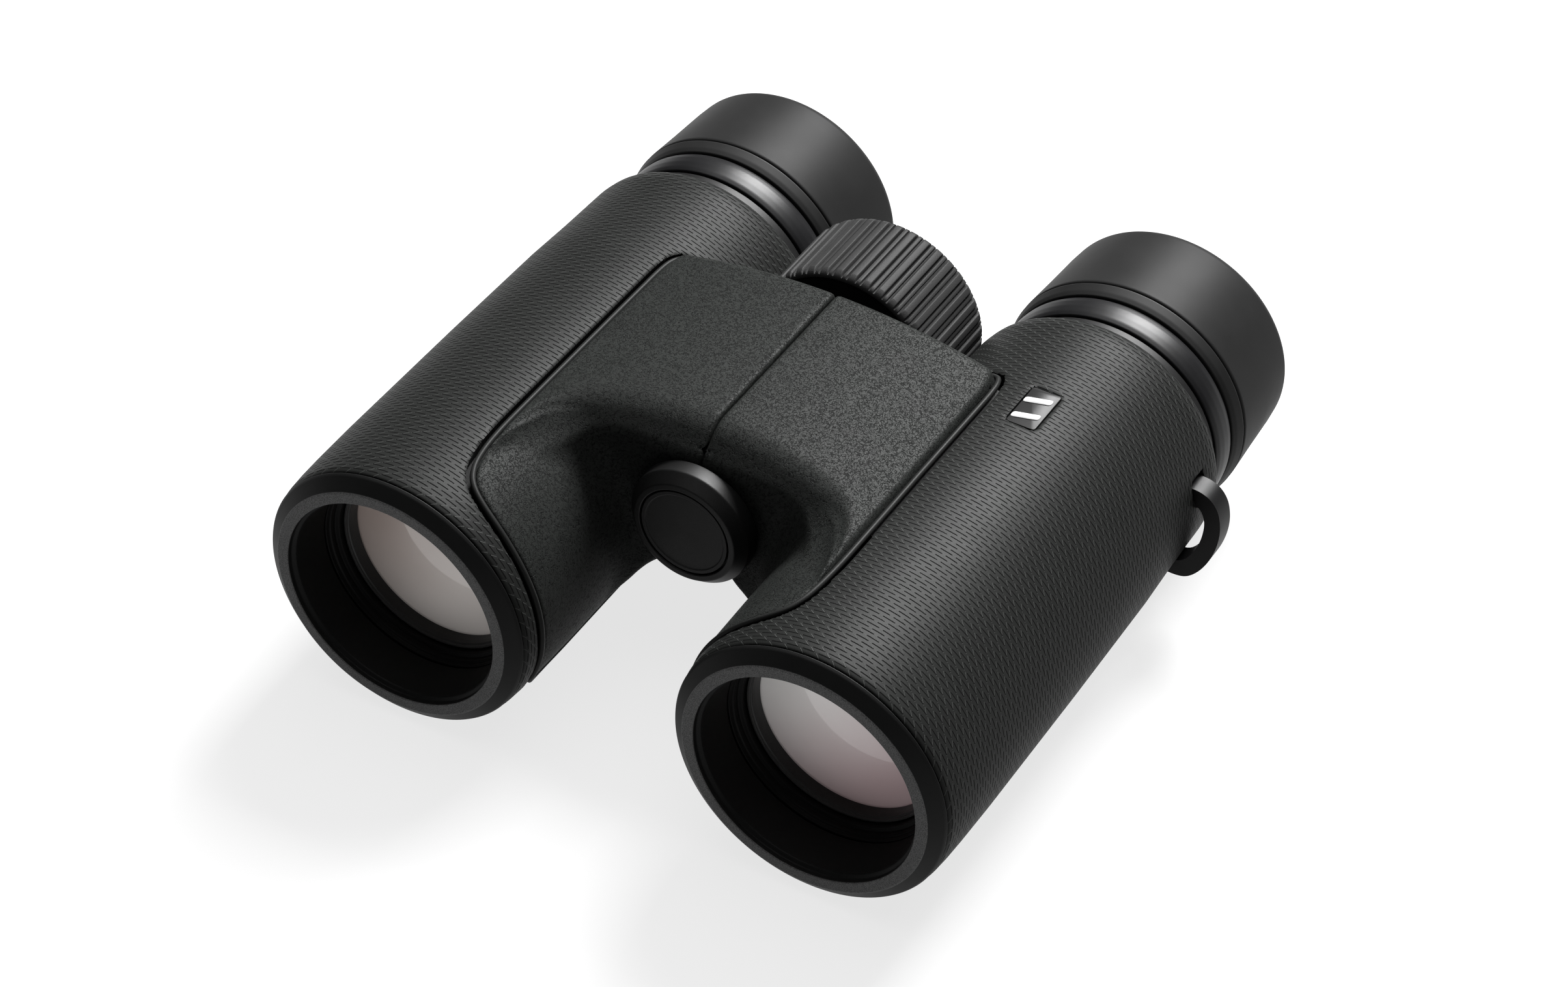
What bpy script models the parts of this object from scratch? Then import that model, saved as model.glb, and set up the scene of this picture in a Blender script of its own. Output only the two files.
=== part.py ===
"""Compact roof-prism binoculars as an assembly of separate pieces.

Frame: +Y runs from the objectives to the eyepieces, +Z up, X across. The origin is the centre
of the bounding box's underside, with the barrels lying level and spread to their widest.
Lengths below are millimetres. A station is a distance along +Y from the objective rims' face.
"""

from math import asin, atan2, cos, degrees, hypot, pi, radians, sin

import bmesh
import bpy
from mathutils import Matrix, Vector

MM = 0.001
GAP = 0.3                      # clearance kept between neighbouring pieces
MERGE = 1e-6                   # merge distance of the modifiers, metres

LENGTH = 119.2                 # rim face to eyecup tip
EYE_SPACING = 71.34            # widest interpupillary distance
HINGE_RISE = 11.385            # hinge axis above the optical axes
ARMOUR_R = 23.15               # widest armour radius
ARMOUR_BORE_R = 20.3
TUBE_R = 20.0                  # outside of the moulded body tube
TUBE_BORE_R = 18.7
INSERT_R = TUBE_BORE_R - GAP   # whatever slides into the body tube

AXIS_X = EYE_SPACING / 2
AXIS_Z = ARMOUR_R
HINGE_Z = AXIS_Z + HINGE_RISE
AXIS_TO_HINGE = hypot(AXIS_X, HINGE_RISE)
ARM_TILT = atan2(HINGE_RISE, AXIS_X)   # how far the hinge stands above a barrel's level

RIM_INNER_R = 18.38
RIM_OUTER_R = 20.16
CUP_TRAVEL = 8.0
FOCUS_TRAVEL = 2.0
DIOPTER_TRAVEL = 1.0

DECK_TOP = 26.5                # bridge deck above the optical axes, at the seam
DECK_EDGE = (30.0, 22.5)       # where the deck meets the barrel: across, above the optical axes
COVER_WALL = 1.6
SEAM = 0.15                    # half the gap between the two bridge halves
BRIDGE_FRONT = 30.4
BRIDGE_REAR = 71.0
CHAMFER_LEVEL = 22.0           # the front band slopes up from this level at 45 degrees
CHEEK_FRONT, CHEEK_REAR = 6.9, 71.5
CHEEK_TOP_DEG, CHEEK_LOW_DEG = 13.5, 126.0   # from straight up, turning towards the hinge
UNDERSIDE = ((13.3, -6.0), (5.1, 0.9))       # web underside, clear of the other half when folded

KNUCKLE_R = 11.2
KNUCKLE_ROOM_R = 11.7
FIXED_KNUCKLES = ((32.4, 38.9), (64.0, 68.9))
TURNING_KNUCKLES = ((40.3, 45.7), (57.4, 62.6))
CARRIAGE_ROOM = (46.0, 57.1)
SHAFT_HEAD_R, SHAFT_R, SCREW_R = 5.6, 3.5, 5.2
BUSH_WALL = 1.1
WHEEL_R, WHEEL_FRONT, WHEEL_REAR = 16.15, 73.67, 89.78
WHEEL_ROOM_R = 16.6

OUTER_SEGMENTS = 32            # facets round the outside
INNER_SEGMENTS = 20            # facets round hidden pieces
LENS_SEGMENTS = 16

SIDES = {"left": 1, "right": -1}

BLACK_RUBBER = ((0.012, 0.012, 0.013), 0.75, 0.0)
ARMOUR_RUBBER = ((0.020, 0.022, 0.021), 0.70, 0.0)
COVER_RUBBER = ((0.028, 0.030, 0.029), 0.80, 0.0)
BLACK_PLASTIC = ((0.010, 0.010, 0.011), 0.35, 0.0)
DARK_METAL = ((0.03, 0.03, 0.033), 0.40, 0.8)
SATIN_METAL = ((0.30, 0.30, 0.31), 0.35, 1.0)
STEEL = ((0.50, 0.50, 0.52), 0.30, 1.0)
BRASS = ((0.55, 0.40, 0.16), 0.35, 1.0)
BODY_ALLOY = ((0.05, 0.05, 0.055), 0.55, 0.3)
GLASS = ((0.75, 0.82, 0.80), 0.05, 0.0)


def clear_scene():
    for obj in list(bpy.data.objects):
        bpy.data.objects.remove(obj, do_unlink=True)


def collection(name):
    found = bpy.data.collections.new(name)
    bpy.context.scene.collection.children.link(found)
    return found


clear_scene()
PARTS = collection("binoculars")
CUTTERS = collection("cutters")


def point(x, station, z):
    """World position of a point given across, along and above the base."""
    return Vector((x * MM, (station - LENGTH / 2) * MM, z * MM))


def material(name, look):
    colour, roughness, metallic = look
    made = bpy.data.materials.new(name)
    made.use_nodes = True
    shader = made.node_tree.nodes["Principled BSDF"]
    shader.inputs["Base Color"].default_value = (*colour, 1.0)
    shader.inputs["Roughness"].default_value = roughness
    shader.inputs["Metallic"].default_value = metallic
    return made


def add(name, mesh, look=None, at=(0, 0, 0), turn=(0, 0, 0)):
    """Put a mesh in the scene: as a part when it has a look, as a hidden cutter when not."""
    obj = bpy.data.objects.new(name, mesh)
    obj.location = at
    obj.rotation_euler = turn
    if look is None:
        CUTTERS.objects.link(obj)
        obj.hide_render = True
        obj.display_type = "WIRE"
    else:
        PARTS.objects.link(obj)
        mesh.materials.append(material(name, look))
    return obj


def combine(obj, other, operation, solver="EXACT"):
    step = obj.modifiers.new(f"{operation.lower()} {other.name}", "BOOLEAN")
    step.operation = operation
    step.solver = solver
    step.object = other


def cut(obj, *others, solver="EXACT"):
    for other in others:
        combine(obj, other, "DIFFERENCE", solver)


def join(obj, *others, solver="EXACT"):
    for other in others:
        combine(obj, other, "UNION", solver)


def turned(name, outline, centre, look=None, segments=OUTER_SEGMENTS):
    """A solid of revolution about +Y.

    The outline is (radius, station) points: first the outer side from front to rear, then the
    inner side back to the front. One that starts and ends at radius 0 is a solid disc or rod.
    """
    mesh = bpy.data.meshes.new(name)
    points = [(radius * MM, 0, station * MM) for radius, station in reversed(outline)]
    edges = [(i, i + 1) for i in range(len(points) - 1)]
    if outline[0][0] > 0:
        edges.append((len(points) - 1, 0))
    mesh.from_pydata(points, edges, [])
    x, z = centre
    obj = add(name, mesh, look, point(x, 0, z), (-pi / 2, 0, 0))
    screw = obj.modifiers.new("turn", "SCREW")
    screw.axis = "Z"
    screw.steps = screw.render_steps = segments
    screw.use_merge_vertices = True
    screw.merge_threshold = MERGE
    screw.use_smooth_shade = False
    return obj


def ring(name, radii, stations, centre, look=None, segments=OUTER_SEGMENTS):
    """A plain turned sleeve or washer; an inner radius of 0 makes a disc."""
    inner, outer = radii
    front, rear = stations
    outline = [(outer, front), (outer, rear), (inner, rear), (inner, front)]
    if inner == 0:
        outline = [(0, front), (outer, front), (outer, rear), (0, rear)]
    return turned(name, outline, centre, look, segments)


def slab(name, outline, stations, centre, look=None):
    """A flat outline of (across, up) points, drawn in an XZ plane and extruded along +Y."""
    front, rear = stations
    x, z = centre
    form = bmesh.new()
    low = [form.verts.new((u * MM, front * MM, w * MM)) for u, w in outline]
    face = form.faces.new(low)
    pushed = bmesh.ops.extrude_face_region(form, geom=[face])["geom"]
    moved = [v for v in pushed if isinstance(v, bmesh.types.BMVert)]
    bmesh.ops.translate(form, verts=moved, vec=(0, (rear - front) * MM, 0))
    bmesh.ops.recalc_face_normals(form, faces=form.faces)
    mesh = bpy.data.meshes.new(name)
    form.to_mesh(mesh)
    form.free()
    return add(name, mesh, look, point(x, 0, z))


def block(name, size, middle, look=None, tilt=0.0):
    """A box of (x, y, z) size about a world point, turned by tilt about +Y."""
    form = bmesh.new()
    bmesh.ops.create_cube(form, size=1.0)
    bmesh.ops.scale(form, verts=form.verts, vec=[s * MM for s in size])
    mesh = bpy.data.meshes.new(name)
    form.to_mesh(mesh)
    form.free()
    return add(name, mesh, look, middle, (0, tilt, 0))


def mirrored(outline, side):
    """An outline drawn for the +X half, for the given half."""
    return [(side * u, w) for u, w in outline]


def hinge_axis():
    return (0.0, HINGE_Z)


def optical_axis(side):
    return (side * AXIS_X, AXIS_Z)


# ---------------------------------------------------------------- barrels and bridge

def deck_outline(inset):
    """Half of the bridge's cross-section, drawn about the middle plane and the optical axes."""
    edge_x, edge_z = DECK_EDGE
    steps = 6
    arch = []
    for i in range(steps + 1):
        x = SEAM + inset + (edge_x - SEAM - inset) * i / steps
        arch.append((x, DECK_TOP - inset - (DECK_TOP - edge_z) * (x / edge_x) ** 2))
    inner_r = TUBE_BORE_R - 0.7
    barrel_side = []
    for angle in (radians(CHEEK_TOP_DEG), radians(CHEEK_LOW_DEG - 16)):
        barrel_side.append((AXIS_X - inner_r * sin(angle), inner_r * cos(angle)))
    web = [(x + inset, z + inset) for x, z in UNDERSIDE]
    return arch + barrel_side + web + [(SEAM + inset, HINGE_RISE)]


def front_line(x):
    """Station of the bridge's front wall: straight in the middle, sweeping forward outside."""
    straight, sweep = 10.0, 18.0
    return BRIDGE_FRONT - 8.4 * max(0.0, (x - straight) / sweep) ** 3


def pocket_cutter(name, side, inset):
    """What is removed in front of the bridge: a vertical wall, then the sloped band above it."""
    across = [-1.0, 5.0, 10.0, 15.0, 19.0, 22.0, 25.0, 28.0, 31.0, 34.0]
    rise = 8.0
    layers = ((-60.0, 0.0), (CHAMFER_LEVEL - 0.4 * inset, 0.0), (CHAMFER_LEVEL - 0.4 * inset + rise, rise))
    form = bmesh.new()
    rows = []
    for level, back in layers:
        wall = [(x, front_line(x) + inset + back) for x in across]
        outline = wall + [(across[-1], -5.0), (across[0], -5.0)]
        rows.append([form.verts.new((side * x * MM, y * MM, level * MM)) for x, y in outline])
    for low, high in zip(rows, rows[1:]):
        for i in range(len(low)):
            j = (i + 1) % len(low)
            form.faces.new((low[i], low[j], high[j], high[i]))
    form.faces.new(rows[0])
    form.faces.new(rows[-1])
    bmesh.ops.recalc_face_normals(form, faces=form.faces)
    mesh = bpy.data.meshes.new(name)
    form.to_mesh(mesh)
    form.free()
    return add(name, mesh, None, point(0, 0, AXIS_Z))


def cheek_wedge(name, side, margin):
    """A wedge about the optical axis that bounds the cover's skin on the barrel's inner flank."""
    reach = 60.0
    margin_deg = degrees(asin(margin / ARMOUR_R))
    low, high = CHEEK_TOP_DEG - margin_deg, CHEEK_LOW_DEG + margin_deg
    steps = 4
    outline = [(0.0, 0.0)]
    for i in range(steps + 1):
        angle = radians(low + (high - low) * i / steps)
        outline.append((-reach * sin(angle), reach * cos(angle)))
    stations = (CHEEK_FRONT - margin, CHEEK_REAR + margin)
    return slab(name, mirrored(outline, side), stations, optical_axis(side))


def bridge_block(name, side, inset, stations):
    """The bridge's solid form on one side, inset from its outer surface."""
    form = slab(name, mirrored(deck_outline(inset), side), stations, (0, AXIS_Z))
    cut(form, pocket_cutter(f"{name} pocket", side, inset))
    return form


def body_casting(label, side):
    """Body tube with the bridge arm and its hinge knuckles, moulded in one piece."""
    axis = optical_axis(side)
    walls = (TUBE_BORE_R, TUBE_R)
    body = ring(f"{label}_body_casting", walls, (2.5, 90.0), axis, BODY_ALLOY, 24)
    own, other = FIXED_KNUCKLES, TURNING_KNUCKLES
    if side < 0:
        own, other = other, own
    inset = COVER_WALL + GAP
    arm = bridge_block(f"{label} arm", side, inset, (BRIDGE_FRONT, BRIDGE_REAR - inset))
    cut(arm, ring(f"{label} arm bore", (0, TUBE_BORE_R + 0.4), (0, 100), axis))
    for i, (front, rear) in enumerate(other):
        room = (front - 1.6, rear + 1.6)
        cut(arm, ring(f"{label} knuckle room {i}", (0, KNUCKLE_ROOM_R), room, hinge_axis()))
    cut(arm, ring(f"{label} carriage room", (0, KNUCKLE_ROOM_R), CARRIAGE_ROOM, hinge_axis()))
    # The exact solver leaves open seams where the knuckles cross the arm's hollows.
    solver = "MANIFOLD"
    join(body, arm, solver=solver)
    for i, stations in enumerate(own):
        knuckle = ring(f"{label} knuckle {i}", (0, KNUCKLE_R), stations, hinge_axis())
        join(body, knuckle, solver=solver)
    head_bore = SHAFT_HEAD_R + GAP if side > 0 else SHAFT_HEAD_R + 2 * GAP + BUSH_WALL
    front_bore = ring(f"{label} front bore", (0, head_bore), (20, 46.5), hinge_axis())
    rear_bore_r = SCREW_R + 2 * GAP + BUSH_WALL
    rear_bore = ring(f"{label} rear bore", (0, rear_bore_r), (46, 80), hinge_axis())
    cut(body, front_bore, rear_bore, focus_slot(f"{label} focus slot", side), solver=solver)
    return body


def focus_slot(name, side):
    """Passage for the focusing arm, from the tube's bore to the hinge."""
    near, far = 15.0, AXIS_TO_HINGE - 6.0
    length, middle = far - near, (far + near) / 2
    x = side * (AXIS_X - middle * cos(ARM_TILT))
    z = AXIS_Z + middle * sin(ARM_TILT)
    centre = point(x, 51.3, z)
    return block(name, (length, 6.2, 7.0), centre, None, side * ARM_TILT)


def armour(label, side):
    """Rubber sleeve with a window for the cover and a hollow for the focus wheel."""
    outline = [(22.6, 2.4), (22.85, 3.6), (23.05, 10.0), (ARMOUR_R, 18.0), (ARMOUR_R, 68.0)]
    outline += [(22.5, 77.0), (22.25, 87.5), (21.95, 89.4), (21.04, 90.54)]
    outline += [(ARMOUR_BORE_R, 90.54), (ARMOUR_BORE_R, 2.4)]
    sleeve = turned(f"{label}_armour", outline, optical_axis(side), ARMOUR_RUBBER)
    cut(sleeve, cheek_wedge(f"{label} window", side, GAP))
    cut(sleeve, ring(f"{label} wheel room", (0, WHEEL_ROOM_R), (73.0, 95.0), hinge_axis()))
    notch = (12.0, LUG_WIDTH + 2 * GAP + 0.1, 19.2)
    middle = point(side * (AXIS_X + 20.0), LUG_MIDDLE, AXIS_Z - 4.0)
    cut(sleeve, block(f"{label} lug notch", notch, middle))
    return sleeve


def bridge_cover(label, side):
    """Half of the textured bridge cover: deck, sloped front band, walls and barrel cheek."""
    axis = optical_axis(side)
    outline = mirrored(deck_outline(0.0), side)
    cover = slab(f"{label}_bridge_cover", outline, (8.0, BRIDGE_REAR), (0, AXIS_Z), COVER_RUBBER)
    cut(cover, pocket_cutter(f"{label} pocket", side, 0.0))
    cheek = ring(f"{label} cheek", (ARMOUR_BORE_R - 1, ARMOUR_R), (5, 75), axis)
    combine(cheek, cheek_wedge(f"{label} cheek wedge", side, 0.0), "INTERSECT")
    join(cover, cheek)
    cut(cover, ring(f"{label} cheek bore", (0, ARMOUR_BORE_R), (0, 100), axis))
    rear = BRIDGE_REAR - COVER_WALL
    cut(cover, bridge_block(f"{label} cover hollow", side, COVER_WALL, (BRIDGE_FRONT, rear)))
    front = BRIDGE_FRONT + COVER_WALL
    cut(cover, ring(f"{label} hinge room", (0, KNUCKLE_ROOM_R), (front, rear), hinge_axis()))
    cut(cover, ring(f"{label} shaft room", (0, 6.6), (20, 80), hinge_axis()))
    return cover


# ---------------------------------------------------------------- strap lugs and badge

LUG_MIDDLE = 82.7
LUG_WIDTH = 3.5
BADGE_SIZE = (4.8, 9.0, 0.5)    # across, along, thick
BADGE_MIDDLE = 66.2
BADGE_SHIFT = 1.0               # outward from the barrel's top line
BADGE_LEVEL = 22.4              # plate's middle above the optical axis


def strap_lug(label, side):
    """D-shaped loop whose two legs pass through the armour to the body tube."""
    outer = [(19.9, 4.8), (22.2, 5.2), (24.6, 4.3), (26.3, 2.2), (26.85, -0.6), (26.4, -4.6)]
    outer += [(25.0, -8.8), (22.8, -12.2), (20.4, -13.2), (15.9, -13.0)]
    inner = [(17.8, -10.2), (20.4, -10.2), (22.4, -8.0), (23.8, -4.4), (24.2, -1.0)]
    inner += [(23.6, 1.0), (22.2, 2.2), (20.4, 2.2)]
    half = LUG_WIDTH / 2
    stations = (LUG_MIDDLE - half, LUG_MIDDLE + half)
    name = f"{label}_strap_lug"
    lug = slab(name, mirrored(outer + inner, side), stations, optical_axis(side), BLACK_PLASTIC)
    soften(lug, 0.35)
    return lug


def badge_plate(label, side):
    """Blank plate let into the armour beside the bridge; the same block, larger, cuts its recess."""
    middle = point(side * (AXIS_X + BADGE_SHIFT), BADGE_MIDDLE, AXIS_Z + BADGE_LEVEL)
    across, along, thick = BADGE_SIZE
    depth = 2.0
    pocket = (across + 2 * GAP, along + 2 * GAP, depth)
    raised = middle + Vector((0, 0, (depth / 2 - thick / 2 - GAP) * MM))
    cut(bpy.data.objects[f"{label}_armour"], block(f"{label} badge pocket", pocket, raised))
    plate = block(f"{label}_badge_plate", BADGE_SIZE, middle, BLACK_PLASTIC)
    return soften(plate, 0.15)


def soften(obj, width):
    bevel = obj.modifiers.new("rounded edges", "BEVEL")
    bevel.width = width * MM
    bevel.segments = 1
    bevel.limit_method = "ANGLE"
    bevel.angle_limit = radians(50)
    return obj


# ---------------------------------------------------------------- objective end

def lens(name, radius, stations, sags, centre):
    """A lens with spherical caps: sags are the bulge of its front and rear faces."""
    front, rear = stations
    sag_front, sag_rear = sags
    steps = 2
    outline = []
    for i in range(steps + 1):
        outline.append((radius * i / steps, front - sag_front * (1 - (i / steps) ** 2)))
    for i in range(steps, -1, -1):
        outline.append((radius * i / steps, rear + sag_rear * (1 - (i / steps) ** 2)))
    return turned(name, outline, centre, GLASS, LENS_SEGMENTS)


def objective_end(label, side):
    """Front rim, objective cell with its baffles, retaining ring and lens."""
    axis = optical_axis(side)
    rim = [(RIM_OUTER_R, 0), (22.3, 1.6), (22.59, 2.1), (INSERT_R, 2.1), (INSERT_R, 8.3)]
    rim += [(17.5, 8.3), (17.8, 1.4), (RIM_INNER_R, 0.9), (RIM_INNER_R, 0)]
    turned(f"{label}_objective_rim", rim, axis, BLACK_PLASTIC)
    cell = [(INSERT_R, 8.6), (INSERT_R, 24.0), (14.8, 24.0), (14.8, 20.9), (16.2, 20.9)]
    cell += [(16.2, 10.0), (17.2, 10.0), (17.4, 8.6)]
    turned(f"{label}_objective_cell", cell, axis, DARK_METAL, INNER_SEGMENTS)
    ring(f"{label}_objective_retainer", (15.0, 15.9), (11.6, 13.3), axis, DARK_METAL, INNER_SEGMENTS)
    lens(f"{label}_objective_lens", 15.8, (14.0, 20.0), (1.9, 0.4), axis)


def focusing_group(label, side):
    """Focusing lens in its sliding cell, whose arm reaches the carriage on the hinge."""
    axis = optical_axis(side)
    cell = ring(f"{label}_focusing_cell", (13.0, INSERT_R), (48.4, 54.2), axis, DARK_METAL, INNER_SEGMENTS)
    near, far = 15.5, AXIS_TO_HINGE - CARRIAGE_GROOVE_R - GAP
    length, middle = far - near, (far + near) / 2
    x = side * (AXIS_X - middle * cos(ARM_TILT))
    z = AXIS_Z + middle * sin(ARM_TILT)
    centre = point(x, CARRIAGE_MIDDLE, z)
    arm = block(f"{label} focusing arm", (length, 1.6, 5.0), centre, None, side * ARM_TILT)
    join(cell, arm)
    lens(f"{label}_focusing_lens", 12.7, (49.6, 52.8), (-0.8, -0.5), axis)


def prism_group(label, side):
    """Prism cage with the two prisms of the erecting system."""
    axis = optical_axis(side)
    cage = [(INSERT_R, 58.0), (INSERT_R, 85.0), (9.0, 85.0), (9.0, 83.7), (17.0, 83.7)]
    cage += [(17.0, 59.3), (9.0, 59.3), (9.0, 58.0)]
    turned(f"{label}_prism_cage", cage, axis, DARK_METAL, INNER_SEGMENTS)
    front = [(-9.0, 60.0), (9.0, 60.0), (9.0, 63.2), (-3.2, 75.4), (-9.0, 69.6)]
    prism(f"{label}_front_prism", front, 0.0, axis)
    rear = [(9.2, 64.0), (9.2, 83.0), (-8.6, 83.0), (-8.6, 81.8)]
    prism(f"{label}_roof_prism", rear, 2.8, axis)


def prism(name, outline, ridge, centre):
    """A prism drawn in a YZ plane as (up, station); its upper edges peak by ridge to a roof."""
    half_width = 9.0
    top = max(up for up, _ in outline)
    form = bmesh.new()
    rows = []
    for x, lift in ((-half_width, 0.0), (0.0, ridge), (half_width, 0.0)):
        row = []
        for up, station in outline:
            height = up + lift if up == top else up
            row.append(form.verts.new((x * MM, station * MM, height * MM)))
        rows.append(row)
    for low, high in zip(rows, rows[1:]):
        for i in range(len(low)):
            j = (i + 1) % len(low)
            form.faces.new((low[i], low[j], high[j], high[i]))
    form.faces.new(rows[0])
    form.faces.new(rows[-1])
    bmesh.ops.recalc_face_normals(form, faces=form.faces)
    mesh = bpy.data.meshes.new(name)
    form.to_mesh(mesh)
    form.free()
    x, z = centre
    return add(name, mesh, GLASS, point(x, 0, z))


# ---------------------------------------------------------------- eyepiece end

def eyepiece_end(label, side):
    """Eyepiece tube, its outer ring, the ocular cell with two lenses, and the twist-up eyecup."""
    axis = optical_axis(side)
    tube_r, sleeve_r = 16.6, 16.9
    tube = [(INSERT_R, 86.5), (INSERT_R, 90.3), (19.9, 90.3), (19.9, 93.2), (tube_r, 93.2)]
    tube += [(tube_r, 113.0), (15.3, 113.0), (15.3, 86.5)]
    turned(f"{label}_eyepiece_tube", tube, axis, BLACK_PLASTIC)
    outer_ring = "fixed_ring" if side > 0 else "diopter_ring"
    band = [(19.84, 93.5), (20.2, 95.4), (20.3, 97.0), (19.95, 98.4), (sleeve_r, 98.4)]
    turned(f"{label}_{outer_ring}", band + [(sleeve_r, 93.5)], axis, BLACK_PLASTIC)
    cell = [(15.0, 91.6), (15.0, 112.6), (9.8, 112.6), (9.8, 111.8), (11.3, 111.8)]
    cell += [(11.3, 92.6), (10.3, 92.6), (10.3, 91.6)]
    turned(f"{label}_ocular_cell", cell, axis, DARK_METAL, INNER_SEGMENTS)
    lens(f"{label}_field_lens", 11.0, (94.0, 97.4), (0.9, 0.9), axis)
    lens(f"{label}_eye_lens", 11.0, (106.8, 110.4), (1.0, 0.9), axis)
    cam = [(20.21, 98.8), (20.95, 101.1), (17.9, 101.1), (17.9, 110.0), (sleeve_r, 110.0)]
    turned(f"{label}_eyecup_cam", cam + [(sleeve_r, 98.8)], axis, BLACK_PLASTIC)
    core = [(19.0, 101.4), (19.0, 116.5), (13.5, 116.5), (13.5, 115.0), (18.2, 115.0)]
    turned(f"{label}_eyecup_core", core + [(18.2, 101.4)], axis, DARK_METAL)
    cup = [(20.95, 101.4), (20.6, 108.0), (20.3, 115.0), (20.05, 118.0), (19.3, 119.0)]
    cup += [(18.4, LENGTH), (17.3, 118.6), (14.2, 117.3), (14.2, 116.8), (19.3, 116.8)]
    turned(f"{label}_eyecup_rubber", cup + [(19.3, 101.4)], axis, BLACK_RUBBER)


# ---------------------------------------------------------------- hinge and focus

CARRIAGE_MIDDLE = 51.3
CARRIAGE_GROOVE_R = 7.2


def tripod_cap():
    """Unscrewing cap over the tripod socket, with an inset plate."""
    axis = hinge_axis()
    cap = [(0, 26.9), (7.7, 26.9), (7.7, 25.8), (8.69, 25.8), (10.22, 27.55), (10.22, 30.1)]
    cap += [(3.0, 30.1), (3.0, 36.0), (0, 36.0)]
    turned("tripod_cap", cap, axis, BLACK_PLASTIC)
    ring("tripod_cap_plate", (0, 7.4), (25.9, 26.6), axis, BLACK_PLASTIC)


def hinge_core():
    """Hollow-headed hinge shaft, its friction washers, bushes and nut."""
    axis = hinge_axis()
    head = SHAFT_HEAD_R
    shaft = [(3.4, 30.7), (head, 30.7), (head, 45.5), (SHAFT_R, 45.5), (SHAFT_R, 91.0)]
    shaft = [(0, 38.0), (3.4, 38.0)] + shaft + [(0, 91.0)]
    turned("hinge_shaft", shaft, axis, STEEL, INNER_SEGMENTS)
    for label, stations, inner in (
        ("front", (39.2, 40.0), head + GAP),
        ("rear", (62.9, 63.7), SCREW_R + GAP),
    ):
        ring(f"{label}_friction_washer", (inner, 10.6), stations, axis, BRASS, INNER_SEGMENTS)
    for label, (front, rear), inner in (
        ("front", TURNING_KNUCKLES[0], head + GAP),
        ("middle", TURNING_KNUCKLES[1], SCREW_R + GAP),
        ("rear", FIXED_KNUCKLES[1], SCREW_R + GAP),
    ):
        stations = (front + 0.2, rear - 0.2)
        ring(f"{label}_hinge_bush", (inner, inner + BUSH_WALL), stations, axis, BRASS, INNER_SEGMENTS)
    nut_outline = [(6.3 * sin(i * pi / 3), 6.3 * cos(i * pi / 3)) for i in range(6)]
    nut = slab("retaining_nut", nut_outline, (90.1, 92.0), axis, STEEL)
    cut(nut, ring("nut bore", (0, SHAFT_R + GAP), (85, 95), axis))


def focus_drive():
    """Focus wheel with its rubber grip and end plate, the screw it turns, and the carriage."""
    axis = hinge_axis()
    bore = SHAFT_R + GAP
    hub = [(bore, 73.9), (14.6, 73.9), (14.6, 89.5), (13.0, 89.5), (13.0, 77.0)]
    hub += [(6.5, 77.0), (6.5, 87.5), (bore, 87.5)]
    turned("focus_wheel_hub", hub, axis, BLACK_PLASTIC)
    ring("focus_wheel_plate", (bore, 12.7), (88.0, 89.3), axis, BLACK_PLASTIC)
    grip = slab("focus_wheel_grip", rib_outline(), (WHEEL_FRONT, WHEEL_REAR), axis, BLACK_RUBBER)
    cut(grip, ring("grip bore", (0, 14.9), (70, 95), axis))
    ring("focus_screw", (bore, SCREW_R), (46.2, 73.4), axis, BRASS, INNER_SEGMENTS)
    low, high = CARRIAGE_MIDDLE - 1.1, CARRIAGE_MIDDLE + 1.1
    inner, outer = SCREW_R + GAP, 9.6
    carriage = [(outer, 48.2), (outer, low), (CARRIAGE_GROOVE_R, low), (CARRIAGE_GROOVE_R, high)]
    carriage += [(outer, high), (outer, 54.4), (inner, 54.4), (inner, 48.2)]
    turned("focus_carriage", carriage, axis, DARK_METAL, INNER_SEGMENTS)


def rib_outline():
    """The grip's outline: wide pads and narrow ribs by turns, standing on a plain sleeve."""
    repeats, valley = 24, 15.45
    pitch = 2 * pi / repeats
    shape = ((0.00, valley), (0.04, WHEEL_R), (0.46, WHEEL_R), (0.50, valley))
    outline = []
    for i in range(repeats):
        for share, radius in shape:
            angle = (i + share - 0.25) * pitch
            outline.append((radius * sin(angle), radius * cos(angle)))
    return outline


def main():
    for label, side in SIDES.items():
        body_casting(label, side)
        armour(label, side)
        bridge_cover(label, side)
        strap_lug(label, side)
        objective_end(label, side)
        focusing_group(label, side)
        prism_group(label, side)
        eyepiece_end(label, side)
    badge_plate("left", SIDES["left"])
    tripod_cap()
    hinge_core()
    focus_drive()


main()
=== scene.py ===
"""Looks of a pair of compact roof-prism binoculars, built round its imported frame.

Lengths in the classes are in millimetres. A station is the distance behind the
objective rims' face, a height is measured from the optical axes, and an angle on a
barrel is measured from straight up towards the hinge.
"""

from __future__ import annotations

import logging
import math
from dataclasses import dataclass, field
from enum import Enum
from typing import Callable, Dict, List, Optional, Sequence, Tuple, Union

import bmesh
import bpy
import numpy as np
from mathutils import Matrix, Vector


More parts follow.
